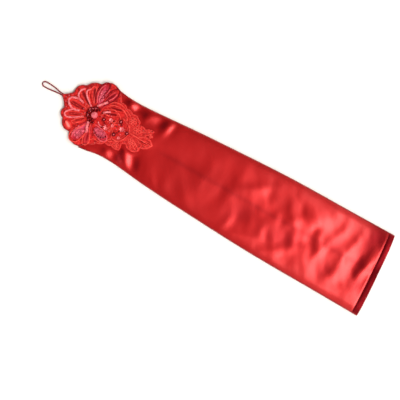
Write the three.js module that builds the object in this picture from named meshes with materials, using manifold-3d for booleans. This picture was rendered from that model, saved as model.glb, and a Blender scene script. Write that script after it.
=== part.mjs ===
// A long fingerless dress glove of red satin, lying flat with the back of the hand up.
//
// One piece of satin is sewn into a flat tube that runs from the hand to the upper arm. At the hand both
// of its layers are cut back in a V. An embroidered lace panel bridges the V on the back of the hand,
// ends in a scalloped edge and a point, and carries a flower of padded petals, leaves, beads and sequins.
// A thin cord loop at the point goes round the middle finger and holds the glove on the hand.
//
// Millimetres, +Z up. +X runs from the fingers to the upper arm and +Y across the glove.
// The origin is in the middle of the underside, which lies on the table. A place on the glove is given by
// its reach, the distance from the fingertip point, and by y.

import * as THREE from "three";
import { mergeVertices } from "three/addons/utils/BufferGeometryUtils.js";
import Module from "manifold-3d";

const wasm = await Module();
wasm.setup();

// Driving sizes
const LENGTH = 474; // from the fingertip point to the longer corner of the upper hem
const ARM_END = 470; // reach of the middle of the upper hem
const END_LEAN = 4; // the upper hem lies askew by this much at each side
const HALF_ARM_WIDTH = 57.5; // half the width of the flat tube at the upper hem
const CLOTH = 1; // satin with its turnings
const SIDE_WALL = 1.2; // the same at the side seams
const LACE = 1; // embroidered net
const GAP = 0.3; // clearance between two pieces that touch
const CORD = 1.7; // diameter of the finger loop's cord
const HEM = { depth: 8, extra: 0.5, crease: 0.9 }; // the turned hem is a little thicker than the sleeve
const SEAM_Z = 1.3; // height of the side seams, where the upper and the lower layer meet
const TIP_X = -LENGTH / 2;

// The cross-sections of the glove. near and far are the y of its two side edges, crown is how high its
// middle puffs up, edge is the thickness of the pressed side fold, and full is the exponent of its curve.
const SECTIONS = [
  { reach: -6, near: -46, far: 51, crown: 2.2, edge: 0.8, full: 0.8 },
  { reach: 20, near: -46, far: 51, crown: 3.6, edge: 0.8, full: 0.8 },
  { reach: 45, near: -45.4, far: 50.4, crown: 6, edge: 1.8, full: 0.7 },
  { reach: 62, near: -43.8, far: 46, crown: 7.8, edge: 2.6, full: 0.6 },
  { reach: 78, near: -41, far: 43.9, crown: 9.2, edge: 2.6, full: 0.55 },
  { reach: 100, near: -41, far: 43.5, crown: 10.6, edge: 2.6, full: 0.55 },
  { reach: 150, near: -46, far: 47, crown: 12, edge: 2.6, full: 0.55 },
  { reach: 200, near: -49.5, far: 50.5, crown: 12.6, edge: 2.6, full: 0.55 },
  { reach: 310, near: -55, far: 56, crown: 13.4, edge: 2.6, full: 0.55 },
  { reach: 410, near: -56.5, far: 57, crown: 13.8, edge: 2.6, full: 0.55 },
  { reach: 470, near: -HALF_ARM_WIDTH, far: HALF_ARM_WIDTH, crown: 12.4, edge: 2.6, full: 0.55 },
];

// Both layers are cut back in a V at the hand. It starts at the side seams, at the reach of its far and
// near corners, and points up the arm to its apex.
const PALM_V = { far: 62, near: 53, apex: 113, y: 1.5 };
const BACK_V = { far: 57, near: 49, apex: 92, y: 1.5 };

// Soft folds in the upper layer. Each is a ridge, or a dent where rise is negative, centred at reach and y,
// turned from the glove's length, and long and wide as its bell curve says.
const FOLDS = [
  { reach: 111, y: -26, turn: -62, long: 16, wide: 6, rise: 1.5 },
  { reach: 97, y: -36, turn: -75, long: 12, wide: 6, rise: -1.2 },
  { reach: 84, y: 38, turn: 80, long: 12, wide: 6, rise: 1.2 },
  { reach: 100, y: 33, turn: 82, long: 14, wide: 7, rise: -1.4 },
  { reach: 114, y: 30, turn: 75, long: 16, wide: 6, rise: 1.2 },
  { reach: 130, y: 33, turn: 78, long: 14, wide: 7, rise: -1 },
  { reach: 143, y: 38, turn: 84, long: 12, wide: 5, rise: 0.9 },
  { reach: 146, y: -36, turn: -70, long: 14, wide: 7, rise: 0.8 },
  { reach: 172, y: -34, turn: -60, long: 14, wide: 8, rise: 0.8 },
  { reach: 205, y: -36, turn: -50, long: 20, wide: 8, rise: 0.7 },
  { reach: 190, y: 10, turn: 8, long: 70, wide: 11, rise: -0.9 },
  { reach: 255, y: 14, turn: 86, long: 34, wide: 9, rise: 0.9 },
  { reach: 282, y: 24, turn: 32, long: 26, wide: 7, rise: 1.2 },
  { reach: 276, y: -22, turn: 70, long: 22, wide: 10, rise: -1.1 },
  { reach: 312, y: -22, turn: 80, long: 26, wide: 8, rise: 0.9 },
  { reach: 322, y: 22, turn: 60, long: 20, wide: 9, rise: -0.9 },
  { reach: 342, y: 9, turn: 50, long: 14, wide: 8, rise: 1.4 },
  { reach: 336, y: -38, turn: 38, long: 26, wide: 7, rise: 1 },
  { reach: 362, y: -10, turn: 30, long: 22, wide: 8, rise: -1.2 },
  { reach: 380, y: 30, turn: 28, long: 24, wide: 12, rise: 1.3 },
  { reach: 390, y: -8, turn: 68, long: 16, wide: 6, rise: 1.1 },
  { reach: 404, y: 10, turn: 60, long: 18, wide: 7, rise: -1.1 },
  { reach: 412, y: -22, turn: 62, long: 14, wide: 7, rise: -1 },
  { reach: 424, y: 12, turn: 78, long: 30, wide: 6, rise: 1.4 },
  { reach: 438, y: 4, turn: 70, long: 18, wide: 6, rise: -1.5 },
  { reach: 449, y: -4, turn: 66, long: 14, wide: 5, rise: 1.3 },
  { reach: 444, y: 40, turn: 50, long: 16, wide: 8, rise: -1.2 },
  { reach: 428, y: -42, turn: 30, long: 24, wide: 8, rise: 1 },
];

// The lace panel stiffens the satin under it. Folds begin beside it, at y from its middle, and beyond it,
// at reach, and they die away towards the hand between hand and hand_full.
const FOLD_START = { y: 24, reach: 128, blend: 14, hand: 62, hand_full: 80 };

// The lace outline, from the far side seam round the fingers and back along the tail. Each row is the end
// of a scallop, and bulge is how far that scallop swells outwards from its chord.
const LACE_OUTLINE = [
  { reach: 64.5, y: 43.8, bulge: 0.8 },
  { reach: 38.5, y: 41, bulge: 6.8 },
  { reach: 22.5, y: 30.5, bulge: 3 },
  { reach: 12, y: 15, bulge: 4.4 },
  { reach: 0, y: 5.6, bulge: -0.8 },
  { reach: 0, y: 3.6, bulge: 0.3 },
  { reach: 10.5, y: -9, bulge: -0.8 },
  { reach: 15.5, y: -22, bulge: 3.8 },
  { reach: 31, y: -33, bulge: 4.4 },
  { reach: 53.5, y: -43, bulge: 5.6 },
  { reach: 60, y: -35, bulge: -1 },
  { reach: 70, y: -29, bulge: 1.6 },
  { reach: 79, y: -23, bulge: 1.6 },
  { reach: 88, y: -22.4, bulge: 1.6 },
  { reach: 99.5, y: -23, bulge: 1.4 },
  { reach: 99, y: -14.5, bulge: 1 },
  { reach: 104.5, y: -12, bulge: -1 },
  { reach: 111.5, y: -15.5, bulge: 1.4 },
  { reach: 120.5, y: -13.5, bulge: 1.4 },
  { reach: 122, y: -7, bulge: 1.6 },
  { reach: 135.5, y: 3.5, bulge: 2.6 },
  { reach: 121, y: 9.5, bulge: 2.6 },
  { reach: 129, y: 20.5, bulge: 0.8 },
  { reach: 117, y: 17.5, bulge: 1.8 },
  { reach: 107, y: 18, bulge: 1.8 },
  { reach: 103, y: 25, bulge: 2 },
  { reach: 93, y: 27, bulge: 2 },
  { reach: 83, y: 29.5, bulge: 1.6 },
  { reach: 73, y: 33, bulge: 1.6 },
];

// Where the net is open round the small flowers of the tail: gaps stand in a ring round each centre.
const LACE_RINGS = [
  { reach: 90.5, y: 2.5, radius: 8.2, gaps: 6, size: 1.5, turn: 0 },
  { reach: 108.5, y: 11.5, radius: 4.2, gaps: 5, size: 1.2, turn: 20 },
  { reach: 97.5, y: 18.8, radius: 4.2, gaps: 5, size: 1.2, turn: 50 },
  { reach: 110.5, y: -7, radius: 4.6, gaps: 6, size: 1.2, turn: 10 },
  { reach: 92.5, y: -17.5, radius: 3.2, gaps: 3, size: 1.1, turn: 30 },
  { reach: 127, y: 2.2, radius: 3.2, gaps: 3, size: 1.1, turn: 90 },
];

// The main flower. Petals stand round its centre from start outwards; tip_reach and tip_y are their ends.
const FLOWER = { reach: 50.5, y: 1.5, start: 12.4 };
const PETALS = [
  { name: "petal_tip", tip_reach: 10.5, tip_y: 2, width: 12.4 },
  { name: "petal_near_front", tip_reach: 15, tip_y: -14.5, width: 8.2 },
  { name: "petal_near_short", tip_reach: 29.5, tip_y: -19, width: 6.8 },
  { name: "petal_near_wide", tip_reach: 39.5, tip_y: -39, width: 13 },
  { name: "petal_near_back", tip_reach: 57, tip_y: -37, width: 8.2 },
  { name: "petal_far_front", tip_reach: 16.5, tip_y: 24, width: 10 },
  { name: "petal_far_middle", tip_reach: 31, tip_y: 36, width: 10 },
  { name: "petal_far_wide", tip_reach: 45, tip_y: 44, width: 9.2 },
  { name: "petal_far_back", tip_reach: 60.5, tip_y: 42, width: 9 },
];

// Leaves and small bosses of the same padded work, from base to tip.
const LEAVES = [
  { name: "leaf_near", reach: 58, y: -12.5, tip_reach: 78.5, tip_y: -19, width: 11 },
  { name: "leaf_far_inner", reach: 60, y: 9.5, tip_reach: 79, tip_y: 17.5, width: 7.6 },
  { name: "leaf_far_outer", reach: 61.5, y: 20, tip_reach: 82, tip_y: 24.8, width: 6.4 },
  { name: "boss_near", reach: 20.5, y: -22.5, tip_reach: 31, tip_y: -29, width: 8 },
  { name: "leaf_tail", reach: 117, y: 1.2, tip_reach: 134, tip_y: 3.2, width: 6 },
];
const PADDING = { rim: 1.5, hollow: 0.8, side: 0.5 }; // heights of a petal's corded rim, middle and edge

// Round beads and flat sequins, by their place and diameter.
const BEAD_RING = { radius: 9.6, bead: 3.7, count: 10, from: 72, to: 288 };
const BEADS = [
  { name: "pearl", reach: 50.5, y: 1.5, bead: 8.6 },
  { name: "bead_inner", reach: 64, y: 2.6, bead: 5 },
  { name: "bead_far", reach: 85, y: 10.6, bead: 5.4 },
  { name: "bead_near", reach: 84.5, y: -8, bead: 5.4 },
  { name: "bead_tail", reach: 99, y: 1.4, bead: 5 },
];
const SEQUINS = [
  { name: "sequin_flower", reach: 90.5, y: 2.5, disc: 7 },
  { name: "sequin_far", reach: 72.3, y: 6.4, disc: 4.8 },
  { name: "sequin_near", reach: 71.5, y: -6.6, disc: 5 },
  { name: "sequin_middle", reach: 77.5, y: 0.6, disc: 4 },
  { name: "sequin_side", reach: 92, y: -9, disc: 4 },
];
const SEQUIN = { rise: 0.9, rim: 0.55, shoulder: 0.43 };

// The finger loop lies on the table and rises to the lace, where its ends are tucked under the point. It
// drifts sideways as it leaves the point. The rows give half its width at each distance out from the point,
// as far as the bend at its end.
const LOOP = { out: 30.5, tuck: 4, y: 4.6, drift: 0.6, drifted: 14, bend: 3.3, rising: 11 };
const LOOP_HALF_WIDTHS = [
  { out: -4, half: 1 },
  { out: 0, half: 1 },
  { out: 5, half: 1.3 },
  { out: 11, half: 2.2 },
  { out: 17, half: 3 },
  { out: 23, half: 3.4 },
  { out: 27, half: 3.3 },
];

// How fine the faces are.
const HAND_STEP = 8;
const ARM_STEP = 10;
const HAND_REACH = 146;
const ACROSS = 18;
const UNDER_Q = [0.93, 0.55, 0, -0.55, -0.93];
const SCALLOP_STEP = 3.2;
const GAP_SIDES = 6;
const ROUND_SIDES = 10;
const BEAD_BANDS = 6;
const LOOP_STEPS = 34;
const CORD_SIDES = 8;

// How far a cutting prism runs past what it cuts.
const BELOW = -5;
const ABOVE = 40;
const CLEAR = 20;

const radians = THREE.MathUtils.degToRad;
const xOf = (reach) => TIP_X + reach;

// A value of the section table at a reach, on a smooth curve through its rows.
function sectionValue(key, reach, rows = SECTIONS, along = "reach") {
  const last = rows.length - 2;
  let i = rows.findIndex((row) => row[along] > reach) - 1;
  i = i < -1 || i > last ? last : Math.max(i, 0);
  const slope = (k) => {
    const a = rows[Math.max(k - 1, 0)];
    const b = rows[Math.min(k + 1, rows.length - 1)];
    return (b[key] - a[key]) / (b[along] - a[along]);
  };
  const span = rows[i + 1][along] - rows[i][along];
  const t = THREE.MathUtils.clamp((reach - rows[i][along]) / span, 0, 1);
  const rise = rows[i + 1][key] - rows[i][key];
  const a = slope(i) * span - rise;
  const b = rise - slope(i + 1) * span;
  return rows[i][key] + t * rise + t * (1 - t) * ((1 - t) * a + t * b);
}

const smooth = (low, high, value) => THREE.MathUtils.smoothstep(value, low, high);

// The height that the folds add at a place of the upper layer.
function foldHeight(reach, y) {
  const sum = FOLDS.reduce((total, fold) => {
    const turn = radians(fold.turn);
    const dx = reach - fold.reach;
    const dy = y - fold.y;
    const along = (dx * Math.cos(turn) + dy * Math.sin(turn)) / fold.long;
    const across = (dy * Math.cos(turn) - dx * Math.sin(turn)) / fold.wide;
    return total + fold.rise * Math.exp(-along * along - across * across);
  }, 0);
  const besideLace = smooth(FOLD_START.y, FOLD_START.y + FOLD_START.blend, Math.abs(y - FLOWER.y));
  const beyondLace = smooth(FOLD_START.reach, FOLD_START.reach + FOLD_START.blend, reach);
  return sum * Math.max(besideLace, beyondLace) * smooth(FOLD_START.hand, FOLD_START.hand_full, reach);
}

// One cross-section: q runs from -1 at the near side edge to 1 at the far one, and inset shrinks it.
function sectionAt(reach, inset = 0) {
  const near = sectionValue("near", reach) + inset;
  const far = sectionValue("far", reach) - inset;
  const crown = sectionValue("crown", reach);
  const edge = sectionValue("edge", reach);
  const full = sectionValue("full", reach);
  const lean = END_LEAN * (Math.max(reach, 0) / ARM_END) ** 4;
  return {
    yAt: (q) => (near + far) / 2 + (q * (far - near)) / 2,
    xAt: (q) => xOf(reach) - lean * q,
    edge,
    // Height of the upper layer's outer face, less depth in its middle.
    topAt: (q, depth = 0) => {
      const curve = Math.max(1 - q * q, 0);
      const y = (near + far) / 2 + (q * (far - near)) / 2;
      const puff = (crown - depth - edge / 2) * curve ** full;
      return edge / 2 + puff + foldHeight(reach, y) * Math.sqrt(curve);
    },
  };
}

// The height of the upper layer at a place given by reach and y.
function topHeight(reach, y) {
  const near = sectionValue("near", reach);
  const far = sectionValue("far", reach);
  const q = THREE.MathUtils.clamp((2 * y - near - far) / (far - near), -1, 1);
  return sectionAt(reach).topAt(q);
}

// Column places across the upper layer, closer together towards the side folds.
const COLUMNS = Array.from({ length: ACROSS + 1 }, (_, j) => {
  const t = (2 * j) / ACROSS - 1;
  return (t + Math.sin((Math.PI / 2) * t)) / 2;
});

// Rows of faces along the glove, shared by the sleeve and the lace so that their faces stay parallel.
const HAND_ROWS = [];
for (let reach = -6; reach <= HAND_REACH; reach += HAND_STEP) HAND_ROWS.push(reach);
const ARM_ROWS = [];
for (let reach = HAND_REACH + ARM_STEP; reach < ARM_END - 12; reach += ARM_STEP) ARM_ROWS.push(reach);

// A closed solid as a three.js geometry, from points and triangles.
function geometryOf(points, triangles) {
  const geometry = new THREE.BufferGeometry();
  geometry.setAttribute("position", new THREE.Float32BufferAttribute(points.flat(), 3));
  geometry.setIndex(triangles.flat());
  return geometry;
}

// The same as a manifold-3d solid, for cutting, and back.
function solidOf(geometry) {
  const bare = geometry.clone();
  bare.deleteAttribute("normal");
  bare.deleteAttribute("uv");
  const merged = mergeVertices(bare, 1e-4);
  return new wasm.Manifold(
    new wasm.Mesh({
      numProp: 3,
      vertProperties: new Float32Array(merged.attributes.position.array),
      triVerts: new Uint32Array(merged.index.array),
    }),
  );
}

function geometryFrom(solid) {
  const mesh = solid.getMesh();
  const geometry = new THREE.BufferGeometry();
  geometry.setAttribute("position", new THREE.BufferAttribute(mesh.vertProperties, 3));
  geometry.setIndex(new THREE.BufferAttribute(mesh.triVerts, 1));
  return geometry;
}

const quad = (a, b, c, d) => [
  [a, b, c],
  [a, c, d],
];

// A closed slab between an upper and a lower grid of points, grid[i][j] with i along +X and j along +Y.
function slab(upper, lower) {
  const rows = upper.length;
  const columns = upper[0].length;
  const points = [...upper.flat(), ...lower.flat()];
  const up = (i, j) => i * columns + j;
  const low = (i, j) => rows * columns + i * columns + j;
  const triangles = [];
  for (let i = 0; i < rows - 1; i++) {
    for (let j = 0; j < columns - 1; j++) {
      triangles.push(...quad(up(i, j), up(i + 1, j), up(i + 1, j + 1), up(i, j + 1)));
      triangles.push(...quad(low(i, j), low(i, j + 1), low(i + 1, j + 1), low(i + 1, j)));
    }
    const j = columns - 1;
    triangles.push(...quad(up(i, 0), low(i, 0), low(i + 1, 0), up(i + 1, 0)));
    triangles.push(...quad(up(i, j), up(i + 1, j), low(i + 1, j), low(i, j)));
  }
  for (let j = 0; j < columns - 1; j++) {
    const i = rows - 1;
    triangles.push(...quad(up(0, j), up(0, j + 1), low(0, j + 1), low(0, j)));
    triangles.push(...quad(up(i, j), low(i, j), low(i, j + 1), up(i, j + 1)));
  }
  return geometryOf(points, triangles);
}

// A plan outline as a prism between two heights.
function prism(shape, from, to) {
  const geometry = new THREE.ExtrudeGeometry(shape, { depth: to - from, bevelEnabled: false });
  return solidOf(geometry.translate(0, 0, from));
}

const planPoint = (reach, y) => new THREE.Vector2(xOf(reach), y);

// Points of an arc from a to b that swells by bulge to the left of its travel, without a itself.
function arcPoints(a, b, bulge, step) {
  const chord = a.distanceTo(b);
  const count = Math.max(1, Math.round((chord + 2 * Math.abs(bulge)) / step));
  const side = new THREE.Vector2(a.y - b.y, b.x - a.x).normalize();
  return Array.from({ length: count }, (_, k) => {
    const t = (k + 1) / count;
    return a.clone().lerp(b, t).addScaledVector(side, 4 * bulge * t * (1 - t));
  });
}

// The satin sleeve: a flat tube of one wall thickness, with a thicker turned hem at the upper arm.
function sleeveGeometry() {
  const rows = HAND_ROWS.filter((reach) => reach > BACK_V.near - HAND_STEP).map((reach) => ({ reach, thicker: 0 }));
  rows.push(...ARM_ROWS.map((reach) => ({ reach, thicker: 0 })));
  rows.push({ reach: ARM_END - HEM.depth - HEM.crease, thicker: 0 });
  rows.push({ reach: ARM_END - HEM.depth, thicker: 0 });
  rows.push({ reach: ARM_END - HEM.depth + HEM.crease, thicker: HEM.extra });
  rows.push({ reach: ARM_END, thicker: HEM.extra });
  const loops = rows.map(({ reach, thicker }) => {
    const outer = sectionAt(reach);
    const inner = sectionAt(reach, SIDE_WALL);
    const middle = outer.edge / 2;
    return [
      ...COLUMNS.map((q) => [
        [outer.xAt(q), outer.yAt(q), outer.topAt(q) + thicker * Math.sqrt(1 - q * q)],
        [outer.xAt(q), inner.yAt(q), inner.topAt(q, CLOTH)],
      ]),
      ...UNDER_Q.map((q) => [
        [outer.xAt(q), outer.yAt(q), 0],
        [outer.xAt(q), inner.yAt(q), Math.min(CLOTH, middle)],
      ]),
    ];
  });
  const count = loops[0].length;
  const points = loops.flat(2);
  const outer = (i, j) => 2 * (i * count + (j % count));
  const inner = (i, j) => outer(i, j) + 1;
  const triangles = [];
  const end = loops.length - 1;
  for (let j = 0; j < count; j++) {
    for (let i = 0; i < end; i++) {
      triangles.push(...quad(outer(i, j), outer(i + 1, j), outer(i + 1, j + 1), outer(i, j + 1)));
      triangles.push(...quad(inner(i, j), inner(i, j + 1), inner(i + 1, j + 1), inner(i + 1, j)));
    }
    triangles.push(...quad(outer(0, j), outer(0, j + 1), inner(0, j + 1), inner(0, j)));
    triangles.push(...quad(outer(end, j), inner(end, j), inner(end, j + 1), outer(end, j + 1)));
  }
  const tube = solidOf(geometryOf(points, triangles));
  const open = tube.subtract(handCut(PALM_V, BELOW, SEAM_Z)).subtract(handCut(BACK_V, SEAM_Z, ABOVE));
  return geometryFrom(open);
}

// What a V takes away of one layer: all that lies nearer to the fingers than its two sides.
function handCut(v, from, to) {
  const nearY = sectionValue("near", v.near);
  const farY = sectionValue("far", v.far);
  const shape = new THREE.Shape([
    planPoint(-CLEAR, nearY - CLEAR),
    planPoint(v.near, nearY - CLEAR),
    planPoint(v.near, nearY),
    planPoint(v.apex, v.y),
    planPoint(v.far, farY),
    planPoint(v.far, farY + CLEAR),
    planPoint(-CLEAR, farY + CLEAR),
  ]);
  return prism(shape, from, to);
}

// The lace panel: a curved slab that lies on the satin, cut to its scalloped outline and pierced.
function laceGeometry() {
  const rows = HAND_ROWS.map((reach) => ({ reach, section: sectionAt(reach) }));
  const grid = (rise) =>
    rows.map(({ section }) =>
      COLUMNS.map((q) => [section.xAt(q), section.yAt(q), section.topAt(q) + rise]),
    );
  const sheet = solidOf(slab(grid(GAP + LACE), grid(GAP)));
  return geometryFrom(sheet.intersect(prism(laceOutline(), BELOW, ABOVE)));
}

function laceOutline() {
  const corners = LACE_OUTLINE.map(({ reach, y }) => planPoint(reach, y));
  const outline = corners.flatMap((corner, i) => {
    const before = corners[(i + corners.length - 1) % corners.length];
    return arcPoints(before, corner, -LACE_OUTLINE[i].bulge, SCALLOP_STEP);
  });
  const shape = new THREE.Shape(outline);
  for (const ring of LACE_RINGS) {
    for (let k = 0; k < ring.gaps; k++) {
      const angle = radians(ring.turn) + (2 * Math.PI * k) / ring.gaps;
      const centre = planPoint(
        ring.reach + ring.radius * Math.cos(angle),
        ring.y + ring.radius * Math.sin(angle),
      );
      shape.holes.push(new THREE.Path(gapPoints(centre, angle, ring.size)));
    }
  }
  return shape;
}

// A small drop-shaped gap in the net, longer along its angle.
function gapPoints(centre, angle, size) {
  return Array.from({ length: GAP_SIDES }, (_, k) => {
    const turn = (2 * Math.PI * k) / GAP_SIDES;
    return new THREE.Vector2(0.75 * size * Math.cos(turn), 0.5 * size * Math.sin(turn))
      .rotateAround(new THREE.Vector2(), angle)
      .add(centre);
  });
}

const laceTop = (reach, y) => topHeight(reach, y) + GAP + LACE;

// A padded petal or leaf from base to tip, with a corded rim round a lower middle.
const PETAL_ROWS = [0, 0.12, 0.28, 0.46, 0.64, 0.8, 0.92, 0.99];
const PETAL_COLUMNS = [
  { across: -1, height: "side" },
  { across: -0.72, height: "rim" },
  { across: 0, height: "hollow" },
  { across: 0.72, height: "rim" },
  { across: 1, height: "side" },
];
const PETAL_BASE = 0.34; // how wide the base is, as a share of the full width
const PETAL_SHOULDER = 0.6; // where the petal is widest

function petalHalfWidth(s, width) {
  const growing = PETAL_BASE + (1 - PETAL_BASE) * Math.sin((Math.PI / 2) * Math.min(1, s / PETAL_SHOULDER));
  const closing = Math.max(0, (s - PETAL_SHOULDER) / (1 - PETAL_SHOULDER));
  return (width / 2) * growing * Math.sqrt(1 - closing * closing);
}

function petalGeometry({ reach, y, tip_reach, tip_y, width }) {
  const length = Math.hypot(tip_reach - reach, tip_y - y);
  const dx = (tip_reach - reach) / length;
  const dy = (tip_y - y) / length;
  const grid = (rise) =>
    PETAL_ROWS.map((s) =>
      PETAL_COLUMNS.map(({ across, height }) => {
        const side = across * petalHalfWidth(s, width);
        const r = reach + dx * length * s - dy * side;
        const w = y + dy * length * s + dx * side;
        const closed = s === 0 || s > 0.95 ? "side" : height;
        return [xOf(r), w, laceTop(r, w) + GAP + rise * PADDING[closed]];
      }),
    );
  return slab(grid(1), grid(0));
}

const beadGeometry = (diameter) => new THREE.SphereGeometry(diameter / 2, ROUND_SIDES, BEAD_BANDS);

// A sequin is a low dome with a rounded rim.
function sequinGeometry(diameter) {
  const profile = [
    new THREE.Vector2(0, 0),
    new THREE.Vector2(diameter / 2, 0),
    new THREE.Vector2(diameter * SEQUIN.shoulder, SEQUIN.rim),
    new THREE.Vector2(0, SEQUIN.rise),
  ];
  return new THREE.LatheGeometry(profile, ROUND_SIDES).rotateX(Math.PI / 2);
}

// The finger loop's centre line: out along one side, round the bend and back along the other.
function loopCurve() {
  const halfAt = (out) => sectionValue("half", out, LOOP_HALF_WIDTHS, "out");
  const flat = CORD / 2 + 0.05;
  const tucked = topHeight(LOOP.tuck, LOOP.y) - CORD / 2;
  const zAt = (out) => tucked + (flat - tucked) * smooth(0, LOOP.rising, out);
  const yAt = (out) => LOOP.y + LOOP.drift * smooth(0, LOOP.drifted, out);
  const leg = [-LOOP.tuck, 0, 4, 8, 12, 16, 20, 24, LOOP.out - CORD / 2 - LOOP.bend];
  const bend = [60, 30, 0, -30, -60].map(radians);
  const bendX = LOOP.out - CORD / 2 - LOOP.bend;
  return new THREE.CatmullRomCurve3([
    ...leg.map((out) => new THREE.Vector3(xOf(-out), yAt(out) + halfAt(out), zAt(out))),
    ...bend.map((angle) => {
      const x = xOf(-bendX - LOOP.bend * Math.cos(angle));
      return new THREE.Vector3(x, yAt(bendX) + LOOP.bend * Math.sin(angle), flat);
    }),
    ...leg.reverse().map((out) => new THREE.Vector3(xOf(-out), yAt(out) - halfAt(out), zAt(out))),
  ]);
}

function loopGeometry() {
  const section = new THREE.Shape().absarc(0, 0, CORD / 2, 0, 2 * Math.PI);
  return new THREE.ExtrudeGeometry(section, {
    steps: LOOP_STEPS,
    curveSegments: CORD_SIDES / 2,
    bevelEnabled: false,
    extrudePath: loopCurve(),
  });
}

const material = (color, roughness, metalness = 0) =>
  new THREE.MeshStandardMaterial({ color, roughness, metalness });
const SATIN = material(0xb8161c, 0.35);
const LACE_RED = material(0xd02a2c, 0.7);
const THREAD = material(0xe2555a, 0.5);
const MAROON = material(0x4a0609, 0.15);
const PEARL = material(0xf08a90, 0.25);
const CORD_RED = material(0x8e1c26, 0.6);

const glove = new THREE.Group();

function add(name, geometry, finish, place = [0, 0, 0]) {
  const mesh = new THREE.Mesh(geometry, finish);
  mesh.name = name;
  mesh.position.set(...place);
  glove.add(mesh);
}

add("sleeve", sleeveGeometry(), SATIN);
add("lace_panel", laceGeometry(), LACE_RED);
for (const petal of PETALS) {
  const length = Math.hypot(petal.tip_reach - FLOWER.reach, petal.tip_y - FLOWER.y);
  const share = FLOWER.start / length;
  const base = {
    reach: FLOWER.reach + share * (petal.tip_reach - FLOWER.reach),
    y: FLOWER.y + share * (petal.tip_y - FLOWER.y),
  };
  add(petal.name, petalGeometry({ ...petal, ...base }), THREAD);
}
for (const leaf of LEAVES) add(leaf.name, petalGeometry(leaf), THREAD);

// What is sewn on the lace rests on its top face at a reach and y.
const onLace = (reach, y, rise) => [xOf(reach), y, laceTop(reach, y) + GAP + rise];
for (let k = 0; k < BEAD_RING.count; k++) {
  const angle = radians(BEAD_RING.from + ((BEAD_RING.to - BEAD_RING.from) * k) / (BEAD_RING.count - 1));
  const reach = FLOWER.reach + BEAD_RING.radius * Math.cos(angle);
  const y = FLOWER.y + BEAD_RING.radius * Math.sin(angle);
  const name = "ring_bead_" + (k + 1);
  add(name, beadGeometry(BEAD_RING.bead), MAROON, onLace(reach, y, BEAD_RING.bead / 2));
}
for (const { name, reach, y, bead } of BEADS) {
  add(name, beadGeometry(bead), name === "pearl" ? PEARL : MAROON, onLace(reach, y, bead / 2));
}
for (const { name, reach, y, disc } of SEQUINS) {
  add(name, sequinGeometry(disc), PEARL, onLace(reach, y, 0));
}
add("finger_loop", loopGeometry(), CORD_RED);

export default glove;
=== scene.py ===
# %% [markdown]
# # A long fingerless evening glove in red satin
#
# The glove lies flat on a pale table, back of the hand up, seen from straight above. It is a tube of satin,
# cut back in a V at the hand, with a panel of beaded lace over the V and a cord loop for the middle finger.
# A imported solid model of the same glove is the fixed frame. Every piece made here takes the place of one of
# its solids, or is sewn to one, so the first step loads that frame.

# %% Load the frame
import math

import bmesh
import bpy
import numpy as np
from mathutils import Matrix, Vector, noise
from mathutils.geometry import delaunay_2d_cdt


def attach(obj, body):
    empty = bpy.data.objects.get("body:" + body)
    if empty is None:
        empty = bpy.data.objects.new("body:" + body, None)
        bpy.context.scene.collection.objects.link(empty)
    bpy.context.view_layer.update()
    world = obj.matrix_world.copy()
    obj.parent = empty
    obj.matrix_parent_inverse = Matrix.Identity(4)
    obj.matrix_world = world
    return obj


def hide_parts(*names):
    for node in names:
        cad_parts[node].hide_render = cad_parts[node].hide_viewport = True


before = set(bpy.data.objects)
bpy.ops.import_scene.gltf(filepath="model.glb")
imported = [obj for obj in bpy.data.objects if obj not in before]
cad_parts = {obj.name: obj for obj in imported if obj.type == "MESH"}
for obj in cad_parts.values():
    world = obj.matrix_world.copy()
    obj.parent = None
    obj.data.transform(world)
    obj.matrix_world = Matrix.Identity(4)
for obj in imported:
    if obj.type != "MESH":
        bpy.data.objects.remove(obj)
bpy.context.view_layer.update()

MM = 0.001  # every table below is in millimetres, as on a cutting table

# %% [markdown]
# ## The camera
#
# A product photo of a glove is taken from a stand, straight down. A long lens keeps the far and the near
# edge at the same scale, so the camera stands high above the table and its focal length makes the picture
# as wide as the table it shows. The glove lies askew in the picture, so the camera turns about the
# vertical.

# %% Camera
PICTURE = 400  # pixels along each side
PIXEL = 1.3  # millimetres of table in one of them
CAMERA = {"x": -14.0, "y": -26.8, "height": 1700.0, "turn": 29.5}


def make_camera():
    data = bpy.data.cameras.new("camera")
    data.lens = data.sensor_width * CAMERA["height"] / (PICTURE * PIXEL)
    camera = bpy.data.objects.new("camera", data)
    camera.location = [CAMERA[key] * MM for key in ("x", "y", "height")]
    camera.rotation_euler = (0, 0, math.radians(CAMERA["turn"]))
    bpy.context.scene.collection.objects.link(camera)
    bpy.context.scene.camera = camera
    return camera


print("camera lens", round(make_camera().data.lens, 1), "mm")

# %% [markdown]
# ## The cut of the glove
#
# A glove maker charts a sleeve by its widths at stations along the arm. The table here does the same: reach
# is the distance from the fingertip point, near and far are the two side seams, crown is how high the upper
# layer puffs, edge how thick the pressed side is, and full how square the curve between them. The same
# numbers shape the solid frame, so cloth made from them lies where the frame lies. A smooth cubic through
# the rows is chosen over straight lines, because a straight line would show as a crease in shiny satin.

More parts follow.
